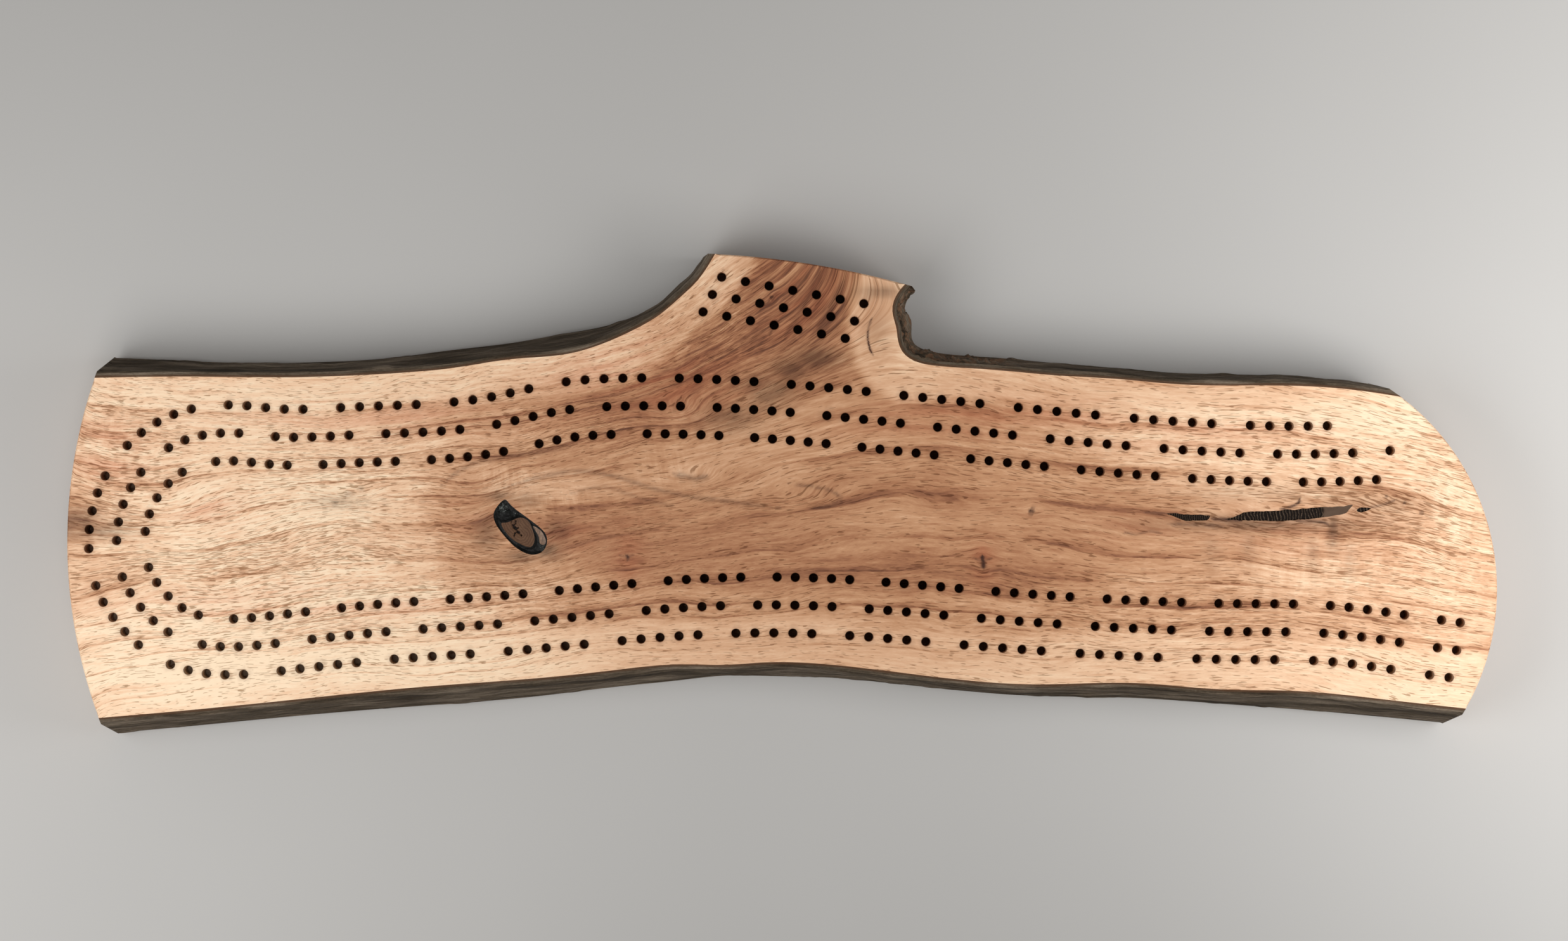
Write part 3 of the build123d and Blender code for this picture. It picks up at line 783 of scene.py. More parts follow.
class MeshParts:
    """Collects vertices and faces of one mesh."""

    def __init__(self):
        self.vertices = []
        self.faces = []

    def add(self, points, heights):
        """Adds points of the plane at given heights and returns their numbers."""
        return self.add_points(np.column_stack([points, np.broadcast_to(heights, len(points))]))

    def add_points(self, points):
        start = len(self.vertices)
        self.vertices.extend(points.tolist())
        return np.arange(start, start + len(points))

    def bridge(self, upper, lower, closed=True):
        """Quads between two rows; seen from outside, the upper row runs to the right."""
        if closed:
            pairs = zip(upper, np.roll(upper, -1), np.roll(lower, -1), lower)
        else:
            pairs = zip(upper[:-1], upper[1:], lower[1:], lower[:-1])
        self.faces.extend([int(d), int(c), int(b), int(a)] for a, b, c, d in pairs)

    def cover(self, triangles, numbers, flip=False):
        """Triangles over points that are in the mesh already."""
        for triangle in triangles:
            corners = [int(numbers[corner]) for corner in triangle]
            self.faces.append(corners[::-1] if flip else corners)

    def fan(self, ring, tip, flip=False):
        """Triangles from a closed ring of points to one point."""
        numbers = [*ring, tip]
        last = len(ring)
        self.cover([(i, (i + 1) % last, last) for i in range(last)], numbers, flip)

    def floor(self, loops, rims, flip=False):
        """Triangles of a flat region whose rims are in the mesh already."""
        _, triangles = triangulated(loops[0], loops[1:], NO_POINTS)
        self.cover(triangles, np.concatenate(rims), flip)


def triangulated(outline, openings, inner):
    """Triangles of a flat region: its outline, then its openings, then the inner points."""
    loops = [outline, *openings]
    everything = np.vstack([*loops, inner])
    faces = []
    start = 0
    for loop in loops:
        faces.append(list(range(start, start + len(loop))))
        start += len(loop)
    points = [Vector(p) for p in everything]
    found = delaunay_2d_cdt(points, [], faces, 0, SAME_PLACE, True)
    _, _, triangles, originals, _, regions = found
    kept = []
    for triangle, region in zip(triangles, regions):
        if list(region) != [0]:
            continue
        a, b, c = (originals[corner][0] for corner in triangle)
        pa, pb, pc = everything[a], everything[b], everything[c]
        turn = (pb[0] - pa[0]) * (pc[1] - pa[1]) - (pb[1] - pa[1]) * (pc[0] - pa[0])
        if abs(turn) > SLIVER:
            kept.append((a, b, c) if turn > 0 else (a, c, b))
    return everything, kept


def scattered(low, high, spacing, seed):
    """Rows of points, every second row set off, each point moved a little."""
    columns = np.arange(low[0], high[0], spacing)
    rows = np.arange(low[1], high[1], spacing * ROW_SPACING)
    x, y = np.meshgrid(columns, rows)
    x[1::2] += spacing / 2
    rng = np.random.default_rng(seed)
    points = np.column_stack([x.ravel(), y.ravel()])
    return points + rng.uniform(-SCATTER, SCATTER, points.shape) * spacing


def away_from(points, outline, gap):
    distance, _ = nearest_on_line(points, closed_line(outline))
    return points[distance > gap]


def well_inside(points, outline, gap):
    """Points that lie inside an outline and further than a gap from it."""
    return away_from(points[inside(points, outline)], outline, gap)


def clear_of(points, openings, gap):
    """Points that lie outside the openings and further than a gap from them."""
    for opening in openings:
        points = away_from(points[~inside(points, opening)], opening, gap)
    return points


def rims_in(numbers, loops):
    """The vertex numbers of each loop, when the loops' points come first and in order."""
    ends = np.cumsum([len(loop) for loop in loops])
    return np.split(numbers[:ends[-1]], ends[:-1])


# ---- the slab ----------------------------------------------------------------------------------
EDGE_EASE = 0.45
EASE_FADE = 2.0
RIM_CHAMFER = 0.16
HOLE_SIDES = 26
FIELD_SPACING = 2.0
DETAIL_SPACING = 0.55
PATCH_SPACING = 0.5
UNDERSIDE_SPACING = 3.6
OPENING_SPACING = 1.5
WALL_ROWS = 7
WALL_ENDS = 3.0
HOLE_CONE = 0.3
# How much painted shade a peg hole's wood gets: negative on the rim, up to 1 in the depth. Both signs
# paint the wood darker: the rim and chamfer get a painted dark edge, and the walls and floor get painted
# shade that deepens down the hole.
RIM_SHADE = -0.3
CHAMFER_SHADE = -1.0
WALL_SHADE = 0.75
FLOOR_SHADE = 1.0
# How far inner points of the mesh stay from its lines.
TOP_EDGE_GAP = 0.9
HOLE_GAP = 0.45
PATCH_GAP = 0.3
RAGGED_ROUNDS = 3
RAGGED_SIZE = 1.6
RAGGED_DEPTH = 0.16
THIN_WEB = 0.9
UNDER_EDGE_GAP = 1.2
OPENING_GAP = 0.8
LINE_DEPTH = 2.0
DETAIL_AREAS = [
    ((120.0, -15.0), (232.0, 3.0)),
    ((-108.0, -26.0), (-76.0, 4.0)),
    ((-60.0, -27.0), (-48.0, -17.0)),
    ((65.0, -28.0), (76.0, -19.0)),
    ((83.0, -9.0), (92.0, -2.0)),
    ((25.0, 46.0), (37.0, 65.0)),
    ((-9.0, 54.0), (3.0, 72.0)),
]
MEDIUM_SPACING = 1.0
MEDIUM_AREAS = [
    ((-125.0, -6.0), (26.0, 22.0)),
    ((-2.0, 50.0), (28.0, 83.0)),
]


def ring_of(lines, ease):
    """One closed outline of the board; its saw cuts move inwards, fading to nothing at corners."""
    parts = []
    for name in ROUND_THE_BOARD:
        line = lines[name]
        if name in SAW_CUTS and ease > 0:
            along = directions(line)
            at = lengths_along(line)
            fade = smooth_step(np.minimum(at, at[-1] - at), 0, EASE_FADE)
            line = line + np.column_stack([-along[:, 1], along[:, 0]]) * (ease * fade)[:, None]
        parts.append(line[:-1])
    return np.vstack(parts)


def circle(centre, radius, sides):
    angles = np.arange(sides) * 2 * math.pi / sides
    return centre + radius * np.column_stack([np.cos(angles), np.sin(angles)])


def clear_of_holes(points, gap):
    """Points that lie further than a gap from every peg hole."""
    keep = np.ones(len(points), bool)
    for begin in range(0, len(points), WORK_CHUNK):
        part = points[begin:begin + WORK_CHUNK]
        apart = np.linalg.norm(part[:, None] - hole_centres[None], axis=2).min(axis=1)
        keep[begin:begin + WORK_CHUNK] = apart > HOLE_RADIUS + gap
    return points[keep]


def within_box(points, area):
    low, high = area
    return ((points > np.array(low)) & (points < np.array(high))).all(axis=1)


def field_points():
    """Inner points of the top face, closer together where there is fine detail."""
    low, high = SLAB_LOW[:2], SLAB_HIGH[:2]
    coarse = scattered(low, high, FIELD_SPACING, 1)
    for area in DETAIL_AREAS + MEDIUM_AREAS:
        coarse = coarse[~within_box(coarse, area)]
    groups = [coarse]
    for number, area in enumerate(MEDIUM_AREAS):
        medium = scattered(*area, MEDIUM_SPACING, 30 + number)
        for finer in DETAIL_AREAS:
            medium = medium[~within_box(medium, finer)]
        groups.append(medium)
    for number, area in enumerate(DETAIL_AREAS):
        groups.append(scattered(*area, DETAIL_SPACING, 50 + number))
    return np.vstack(groups)


def patch_loops():
    """Outlines of the knot's and the crack's pockets, finely divided."""
    knot = smooth_line(knot_outline, PATCH_SPACING, closed=True)
    return [knot] + [ragged_outline(outline) for outline in crack_outlines]


def ragged_outline(outline):
    """A cornered outline divided finely, with a slightly uneven edge."""
    line = closed_line(outline)
    count = int(lengths_along(line)[-1] / PATCH_SPACING)
    fine = resampled(line, count + 1)[:-1]
    # a light rounding of the corners, then a small unevenness square to the edge
    for _ in range(RAGGED_ROUNDS):
        fine = (np.roll(fine, 1, axis=0) + 2 * fine + np.roll(fine, -1, axis=0)) / 4
    along = np.roll(fine, -1, axis=0) - np.roll(fine, 1, axis=0)
    along /= np.linalg.norm(along, axis=1)[:, None]
    outwards = np.column_stack([along[:, 1], -along[:, 0]])
    wobble = layered_noise(fine[:, 0] / RAGGED_SIZE, fine[:, 1] / RAGGED_SIZE, 5, 2) * RAGGED_DEPTH
    # a part too thin to hold the unevenness keeps its edge
    wobble *= inside(fine - outwards * THIN_WEB, fine)
    return fine + outwards * wobble[:, None]


def drill_holes(mesh, rims):
    """Chamfer, wall and slightly coned floor of every peg hole; returns how much painted shade each point
    gets.
    """
    shades = {}
    for centre, rim in zip(hole_centres, rims):
        ring = circle(centre, HOLE_RADIUS, HOLE_SIDES)
        shades.update(dict.fromkeys(rim.tolist(), RIM_SHADE))
        above = rim
        for height, shade in (
            (TOP - RIM_CHAMFER, CHAMFER_SHADE),
            ((TOP + HOLE_FLOOR) / 2, WALL_SHADE),
            (HOLE_FLOOR + HOLE_CONE, FLOOR_SHADE),
        ):
            row = mesh.add(ring, height)
            mesh.bridge(row, above)
            shades.update(dict.fromkeys(row.tolist(), shade))
            above = row
        tip = mesh.add(centre[None], HOLE_FLOOR)[0]
        mesh.fan(above, tip)
        shades[int(tip)] = FLOOR_SHADE
    return shades


def close_underside(mesh, bottom_ring, lower_row):
    """The underside, with the peg pocket and the pivot screw's hole."""
    openings = [smooth_corners(counter_clockwise(bottom_outlines[1]))]
    openings.append(counter_clockwise(bottom_outlines[2]))
    under = scattered(SLAB_LOW[:2], SLAB_HIGH[:2], UNDERSIDE_SPACING, 9)
    under = well_inside(under, bottom_ring, UNDER_EDGE_GAP)
    under = clear_of(under, openings, OPENING_GAP)
    points, triangles = triangulated(bottom_ring, openings, under)
    numbers = np.concatenate([lower_row, mesh.add(points[len(bottom_ring):], BOTTOM)])
    mesh.cover(triangles, numbers, flip=True)
    _, *rims = rims_in(numbers, [bottom_ring, *openings])
    for opening, rim, roof_height in zip(openings, rims, (POCKET_ROOF, SCREW_HOLE_TOP)):
        roof = mesh.add(opening, roof_height)
        mesh.bridge(rim, roof)
        mesh.floor([opening], [roof], flip=True)


def build_slab(fields, patches, material):
    """The plank with its peg holes, pockets, eased saw cuts and grain attributes."""
    mesh = MeshParts()
    top_ring = ring_of(top_lines, EDGE_EASE)
    hole_rims = [circle(centre, HOLE_RADIUS + RIM_CHAMFER, HOLE_SIDES) for centre in hole_centres]
    inner = clear_of_holes(well_inside(field_points(), top_ring, TOP_EDGE_GAP), RIM_CHAMFER + HOLE_GAP)
    inner = clear_of(inner, patches, PATCH_GAP)
    points, triangles = triangulated(top_ring, patches + hole_rims, inner)
    numbers = mesh.add(points, TOP)
    mesh.cover(triangles, numbers)
    upper, *rims = rims_in(numbers, [top_ring, *patches, *hole_rims])

    # outer walls: from the eased top edge down to the eased bottom edge
    top_true = ring_of(top_lines, 0)
    bottom_true = ring_of(bottom_lines, 0)
    levels = np.linspace(TOP - WALL_ENDS, BOTTOM + WALL_ENDS, WALL_ROWS)
    for level in (TOP - EDGE_EASE, *levels, BOTTOM + EDGE_EASE):
        share = (TOP - level) / THICKNESS
        row = mesh.add(top_true * (1 - share) + bottom_true * share, level)
        mesh.bridge(upper, row)
        upper = row
    bottom_ring = ring_of(bottom_lines, EDGE_EASE)
    lower_row = mesh.add(bottom_ring, BOTTOM)
    mesh.bridge(upper, lower_row)

    shades = drill_holes(mesh, rims[len(patches):])
    for loop, rim, floor_height in zip(patches, rims, [KNOT_FLOOR] + [CRACK_FLOOR] * len(patches)):
        floor = mesh.add(loop, floor_height)
        mesh.bridge(floor, rim)
        mesh.floor([loop], [floor])
    close_underside(mesh, bottom_ring, lower_row)

    vertices = np.array(mesh.vertices)
    flat = vertices[:, :2]
    heights = vertices[:, 2]
    along, across = grain_coordinates(flat, fields)
    painted_hole_shade = np.zeros(len(vertices))
    painted_hole_shade[list(shades)] = list(shades.values())
    attributes = {
        "grain": np.column_stack([along, across, heights]),
        "zone": np.column_stack([tones_with_painted_shade(flat), sapwood_depth(flat, heights), spots(flat, GREY_STAINS)]),
        "mark": np.column_stack([
            spots(flat, marks) for marks in (PINK_BANDS, SPECKLED_PLACES, RIPPLED_PLACES)
        ]),
        "line": dark_lines(flat) * (heights > TOP - LINE_DEPTH),
        "hole": painted_hole_shade,
    }
    return add_piece("live_edge_plank", vertices, mesh.faces, material, ["slab"],
                     attributes=attributes)


def smooth_corners(outline):
    """The same outline with even, close points."""
    line = closed_line(outline)
    return resampled(line, int(lengths_along(line)[-1] / OPENING_SPACING) + 1)[:-1]


ROOF_REACH = 1.02
ROOF_MARGIN = 0.5


def roof_of(node_outline):
    """Height of the flat roof over an opening in the underside."""
    points, _ = welded_mesh("slab")
    centre = node_outline.mean(axis=0)
    near = inside(points[:, :2], centre + (node_outline - centre) * ROOF_REACH)
    levels = points[near][:, 2]
    return levels[levels < HOLE_FLOOR - ROOF_MARGIN].max()


POCKET_ROOF = roof_of(bottom_outlines[1])
SCREW_HOLE_TOP = roof_of(bottom_outlines[2])


# ---- bark --------------------------------------------------------------------------------------
BARK_STEP = 0.8
BARK_SIDE_ROWS = 24
BARK_TOP_ROWS = 4
# On the top face the bark's texture runs this far from the wood; down the side it goes on from there.
BARK_WIDTH = 2.2
INNER_FACE_AT = 40.0
BARK_EDGE = 0.35
ROUND_OVER = 1.12
ROUND_DEPTH = 0.45
DEEPEST_DIP = 0.9
DEEPEST_PUSH = -1.5
PAIRING_BLEND = 6.0
END_FADE = 1.2
FLAKE_STEPS = 2.5
# Rough bark fades out between these distances from the branch's cut.
ROUGH_UNTIL = (48.0, 72.0)
BARK_NODES = {
    "lower": "bark_edge_lower",
    "upper_left": "bark_edge_upper_left",
    "upper_right": "bark_edge_upper_right",
}


def outer_line(node, height, inner):
    """The outer long curve of a bark strip at one height, running the same way as the inner one."""
    stretches = split_at_corners(counter_clockwise(face_outlines(node, height)[0]), 4)
    stretches.sort(key=lambda s: -lengths_along(s)[-1])
    long_ones = stretches[:2]
    gaps = [nearest_on_line(s[1:-1], inner)[0].mean() for s in long_ones]
    outer = long_ones[int(np.argmax(gaps))]
    outer = smooth_line(outer, BARK_STEP / 2)
    if np.linalg.norm(outer[0] - inner[0]) > np.linalg.norm(outer[-1] - inner[0]):
        outer = outer[::-1]
    return outer


def paired(inner, outer):
    """For each point of the inner line, its partner on the outer one, in order."""
    _, share = nearest_on_line(inner, outer)
    share[0] = 0.0
    share[-1] = 1.0
    at = lengths_along(inner)
    blend = smooth_step(np.minimum(at, at[-1] - at), 0, PAIRING_BLEND)
    share = np.maximum.accumulate(share * blend + at / at[-1] * (1 - blend))
    where = lengths_along(outer)
    return np.column_stack([np.interp(share * where[-1], where, outer[:, axis]) for axis in (0, 1)])


def chipped_share(name, at, total):
    """Where the bark is broken and rough, from 0 to 1: the branch's right side and just past it."""
    if name != "upper_right":
        return np.zeros_like(at)
    return 1 - smooth_step(total - at, *ROUGH_UNTIL)


def build_bark(name, material):
    """A bark strip: the wood's live edge on its inner side, and a rough outer face."""
    node = BARK_NODES[name]
    inner_top = smooth_line(top_stretches[name], BARK_STEP)
    count = len(inner_top)
    inner_bottom = resampled(smooth_line(bottom_stretches[name], BARK_STEP), count)
    outer_top = paired(inner_top, outer_line(node, TOP, inner_top))
    outer_bottom = paired(inner_bottom, outer_line(node, BOTTOM, inner_bottom))
    at = lengths_along(outer_top)
    seed = 100 + 10 * LIVE_EDGES.index(name)
    rough = chipped_share(name, at, at[-1])
    end_fade = smooth_step(np.minimum(at, at[-1] - at), 0, END_FADE)
    along = directions(outer_top)
    normal = np.column_stack([along[:, 1], -along[:, 0]])
    rows = []

    def add_row(line, height, down):
        rows.append((line, np.broadcast_to(height, count), np.full(count, down)))

    def noise_at(z, long, high, number, layers):
        return layered_noise(at / long, np.full(count, z / high), seed + number, layers)

    # top face, from the wood outwards
    for step in range(BARK_TOP_ROWS):
        share = step / BARK_TOP_ROWS
        uneven = noise_at(share, 5, 1 / 3, 0, 3)
        drop = 0.10 * share + (0.07 + 0.25 * rough) * share * (0.5 + uneven)
        line = inner_top * (1 - share) + outer_top * share
        add_row(line, TOP - np.clip(drop, 0, DEEPEST_DIP), share * BARK_WIDTH)
    # outer face, from the rounded top edge down to the underside
    for step in range(BARK_SIDE_ROWS):
        z = TOP - BARK_EDGE - step / (BARK_SIDE_ROWS - 1) * (THICKNESS - 2 * BARK_EDGE)
        down = (TOP - z) / THICKNESS
        grooves = noise_at(z, 14, 2.1, 1, 4)
        lumps = noise_at(z, 9, 9, 2, 3)
        chips = noise_at(z, 2.2, 2.4, 3, 3)
        flakes = np.round(noise_at(z, 4.5, 3.0, 4, 2) * FLAKE_STEPS) / FLAKE_STEPS
        push = 0.32 * grooves + 0.30 * lumps - 0.25 + rough * (0.75 * chips + 0.9 * flakes - 0.35)
        push = push - ROUND_DEPTH * (1 - smooth_step(min(TOP - z, z - BOTTOM), 0, ROUND_OVER))
        push = np.maximum(push, DEEPEST_PUSH)
        line = outer_top * (1 - down) + outer_bottom * down + normal * (push * end_fade)[:, None]
        add_row(line, z, BARK_WIDTH + (TOP - z))
    # underside and the face against the wood
    for share in (0.85, 0.45):
        line = inner_bottom * (1 - share) + outer_bottom * share
        add_row(line, BOTTOM, BARK_WIDTH + THICKNESS + share)
    for share in (1.0, 0.66, 0.33):
        line = inner_top * (1 - share) + inner_bottom * share
        add_row(line, TOP - share * THICKNESS, INNER_FACE_AT + share)

    mesh = MeshParts()
    numbers = [mesh.add(line, height) for line, height, _ in rows]
    for first, second in zip(numbers, numbers[1:] + numbers[:1]):
        mesh.bridge(first, second, closed=False)
    mesh.faces.append([int(row[0]) for row in numbers])
    mesh.faces.append([int(row[-1]) for row in numbers[::-1]])
    texture_down = np.concatenate([down for _, _, down in rows])
    looks = np.column_stack([np.tile(at, len(rows)), texture_down, np.tile(rough, len(rows))])
    return add_piece(f"bark_{name}", mesh.vertices, mesh.faces, material, [node],
                     attributes={"bark": looks})


# ---- knot and crack ------------------------------------------------------------------------------
INLAY_SPACING = 0.30
INLAY_EDGE_GAP = 0.6
PITH_SPACING = 0.3
RIDGE_SPACING = 0.20
PITH_LINE = [(-95.0, -8.8), (-94.3, -10.4), (-93.3, -11.6), (-92.6, -12.6), (-91.5, -13.8)]
PITH_BRANCHES = [
    [(-94.3, -10.4), (-93.6, -9.7), (-93.3, -8.6)],
    [(-93.4, -11.5), (-92.4, -11.2), (-91.9, -10.2)],
    [(-92.6, -12.6), (-93.6, -13.0), (-93.9, -13.9)],
]


def three_columns(*columns):
    """Up to three numbers for each place, filled up with zeros, for a material to read."""
    rest = [np.zeros(len(columns[0]))] * (3 - len(columns))
    return np.column_stack([*columns, *rest])


def build_inlay(name, outline, openings, floor, relief, material, nodes, looks=None):
    """A closed piece let into the top face: a finely divided top with relief on straight walls."""
    mesh = MeshParts()
    add_inlay(mesh, outline, openings, floor, relief, INLAY_SPACING)
    return add_piece(name, mesh.vertices, mesh.faces, material, nodes,
                     attributes=inlay_looks(mesh, looks))


def inlay_looks(mesh, looks):
    return {"inlay": looks(np.array(mesh.vertices)[:, :2])} if looks else None


def add_inlay(mesh, outline, openings, floor, relief, spacing):
    """Adds one such closed solid to a mesh."""
    loops = [outline, *openings]
    inner = scattered(outline.min(axis=0), outline.max(axis=0), spacing, 3)
    inner = well_inside(inner, outline, spacing * INLAY_EDGE_GAP)
    inner = clear_of(inner, openings, spacing * INLAY_EDGE_GAP)
    points, triangles = triangulated(outline, openings, inner)
    from_rim = np.min([nearest_on_line(points, closed_line(loop))[0] for loop in loops], axis=0)
    numbers = mesh.add(points, TOP + relief(points, from_rim))
    mesh.cover(triangles, numbers)
    feet = []
    for loop, rim in zip(loops, rims_in(numbers, loops)):
        foot = mesh.add(loop, floor)
        feet.append(foot)
        if loop is outline:
            mesh.bridge(rim, foot)
        else:
            mesh.bridge(foot, rim)
    mesh.floor(loops, feet, flip=True)


def resin_relief(points, from_rim):
    """Poured resin: it dips between its rims and holds a few ropy ridges."""
    dip = -0.34 * smooth_step(from_rim, 0, 1.2)
    ropes = layered_noise(points[:, 0] / 1.5, points[:, 1] / 1.5, 21, 3)
    lumps = 0.12 + 0.30 * resin_spots(points)[:, 0]
    return dip + lumps * ropes * smooth_step(from_rim, 0, 0.7)


def pith_crack(points):
    """How deep the knot's jagged pith crack is at each place, from 0 to 1."""
    jag = layered_noise(points[:, 0] / 0.8, points[:, 1] / 0.8, 31, 3)
    distance, share = nearest_on_line(points, smooth_line(np.array(PITH_LINE), PITH_SPACING))
    width = 0.36 * np.sin(np.clip(share, 0.05, 0.95) * math.pi) + 0.10
    main = np.exp(-((distance + 0.35 * jag) / width) ** 2)
    branches = np.zeros(len(points))
    for places in PITH_BRANCHES:
        offset, _ = nearest_on_line(points, smooth_line(np.array(places), PITH_SPACING))
        branches = np.maximum(branches, 0.8 * np.exp(-((offset + 0.25 * jag) / 0.20) ** 2))
    return np.maximum(main, branches)


def heart_relief(points, from_rim):
    """The dead knot's face, with faint rings and its pith crack."""
    rings = 0.02 * np.sin(from_rim * 9)
    return (-0.06 + rings - 0.50 * pith_crack(points)) * smooth_step(from_rim, 0, 0.35)


def heart_looks(points):
    """(distance from the pith, darkness of the pith crack) for the knot's colours."""
    distance, _ = nearest_on_line(points, smooth_line(np.array(PITH_LINE), PITH_SPACING))
    return three_columns(distance, pith_crack(points))


def sliver_relief(points, from_rim):
    rough = layered_noise(points[:, 0] / 1.2, points[:, 1] / 1.2, 41, 3)
    return (-0.08 + 0.07 * rough) * smooth_step(from_rim, 0, 0.5)


CRACK_SMOOTH_FROM = 189.8
CRACK_SMOOTH_TO = 201.0
RIDGE_PITCH = 1.08
FINE_RIDGE_PITCH = 0.72
FINE_RIDGES_BELOW_X = 152.0


def ridge_height(points):
    """Cross-ridges of the bark shut in the crack, from 0 between them to 1 on top."""
    x = points[:, 0]
    y = points[:, 1]
    lean = 0.10 * y + 0.55 * layered_noise(x / 3.5, y / 2.6, 51, 3)
    pitch = np.where(x < FINE_RIDGES_BELOW_X, FINE_RIDGE_PITCH, RIDGE_PITCH)
    wave = 0.5 + 0.5 * np.cos(2 * math.pi * (x / pitch + lean))
    ridge = smooth_step(wave, 0.72, 0.99)
    broken = 0.55 + 0.45 * lattice_noise(x / 1.0, y / 1.1, 52)
    return ridge * np.clip(broken + 0.25, 0, 1)


def poured_share(points):
    """Where the crack is filled with smooth grey resin, from 0 to 1."""
    x = points[:, 0] + 0.8 * layered_noise(points[:, 0] / 2, points[:, 1] / 2, 61, 2)
    return smooth_step(x, CRACK_SMOOTH_FROM - 0.5, CRACK_SMOOTH_FROM + 0.5) * (
        1 - smooth_step(x, CRACK_SMOOTH_TO - 0.3, CRACK_SMOOTH_TO + 0.3)
    )


def crack_relief(points, from_rim):
    poured = poured_share(points)
    ridged = -0.42 + 0.30 * ridge_height(points)
    return (ridged * (1 - poured) - 0.05 * poured) * smooth_step(from_rim, 0, 0.35)


def crack_looks(points):
    return three_columns(ridge_height(points), poured_share(points))


def sunk_outline(node):
    """Outline of an inlaid node's top face, finely divided."""
    widest = counter_clockwise(face_outlines(node, TOP)[0])
    return smooth_line(widest, PATCH_SPACING, closed=True)


# Where silvery flecks and painted highlights lie in the knot's resin: (x, y, half length, half width,
# amount).
SILVER_AND_HIGHLIGHT_PLACES = [
    (-98.2, -4.2, 3.0, 2.0, 1.0),
    (-94.0, -6.2, 2.2, 1.1, 0.6),
    (-84.0, -18.0, 1.2, 1.8, 0.8),
]


def resin_spots(points):
    return three_columns(spots(points, SILVER_AND_HIGHLIGHT_PLACES))


def build_knot(patches):
    heart = sunk_outline("knot_heart")
    sliver = sunk_outline("knot_sliver")
    build_inlay("knot_black_resin", patches[0], [heart, sliver], KNOT_FLOOR, resin_relief,
                resin_look(), ["knot_resin"], resin_spots)
    build_inlay("knot_heartwood", heart, [], KNOT_FLOOR, heart_relief,
                knot_look(), ["knot_heart"], heart_looks)
    build_inlay("knot_side_sliver", sliver, [], KNOT_FLOOR, sliver_relief,
                sliver_look(), ["knot_sliver"])


def build_crack(patches):
    mesh = MeshParts()
    for outline in patches[1:]:
        add_inlay(mesh, outline, [], CRACK_FLOOR, crack_relief, RIDGE_SPACING)
    add_piece("crack_filling", mesh.vertices, mesh.faces, crack_look(),
              ["crack_resin"], attributes=inlay_looks(mesh, crack_looks))


# ---- turned and cut metal, feet ------------------------------------------------------------------
PEG_SIDES = 40
FOOT_SIDES = 72
COVER_SIDES = 64
COVER_ROUND = [(0.42, 0.0), (0.20, 0.07), (0.07, 0.20), (0.0, 0.42)]
COVER_TOP_EASE = 0.08
COVER_SPACING = 3.0
COVER_EDGE_GAP = 1.5
COVER_HOLE_GAP = 1.0
COVER_HOLE_SIDES = 40
CORNER_SHARE = 0.25
ROUNDING_ROUNDS = 2


def turned_profile(node, axis):
    """(distance, radius) pairs of a turned CAD node, from its low end to its high end."""
    points, _ = welded_mesh(node)
    low, high = box_mm(node)
    centre = (low + high) / 2
    others = [other for other in range(3) if other != axis]
    radius = np.linalg.norm(points[:, others] - centre[others], axis=1)
    places = np.round(points[:, axis], 2)
    profile = [(place, radius[places == place].max()) for place in np.unique(places)]
    return np.array(profile), centre


def corners_cut(line, rounds):
    """Rounds an open line by cutting its corners again and again."""
    for _ in range(rounds):
        early = line[:-1] * (1 - CORNER_SHARE) + line[1:] * CORNER_SHARE
        late = line[:-1] * CORNER_SHARE + line[1:] * (1 - CORNER_SHARE)
        middle = np.empty((2 * len(early), 2))
        middle[0::2] = early
        middle[1::2] = late
        line = np.vstack([line[:1], middle, line[-1:]])
    return line


def build_turned(name, node, axis, sides, material, slot, body):
    """A lathe-turned piece whose profile is the CAD node's own, with rounded corners."""
    profile, centre = turned_profile(node, axis)
    ends = (profile[0][0], 0.0), (profile[-1][0], 0.0)
    line = corners_cut(np.vstack([ends[0], profile, ends[1]]), ROUNDING_ROUNDS)
    angles = np.arange(sides) * 2 * math.pi / sides
    others = [(axis + 1) % 3, (axis + 2) % 3]
    mesh = MeshParts()
    rings = []
    for place, radius in line[1:-1]:
        ring = np.zeros((sides, 3))
        ring[:, axis] = place
        ring[:, others[0]] = centre[others[0]] + radius * np.cos(angles)
        ring[:, others[1]] = centre[others[1]] + radius * np.sin(angles)
        rings.append(mesh.add_points(ring))
    for lower, upper in zip(rings[:-1], rings[1:]):
        mesh.bridge(upper, lower)
    for ring, (place, _), flip in ((rings[0], line[0], True), (rings[-1], line[-1], False)):
        tip = centre.copy()
        tip[axis] = place
        mesh.fan(ring, mesh.add_points(tip[None])[0], flip)
    return add_piece(name, mesh.vertices, mesh.faces, material, [node], body)


def stadium(left, right, middle, radius, sides):
    """Closed outline with two straight sides and two round ends."""
    half = sides // 2
    turns = np.linspace(-math.pi / 2, math.pi / 2, half)
    right_end = np.column_stack([right + radius * np.cos(turns), middle + radius * np.sin(turns)])
    left_end = np.column_stack([left - radius * np.cos(turns), middle - radius * np.sin(turns)])
    return np.vstack([right_end, left_end])


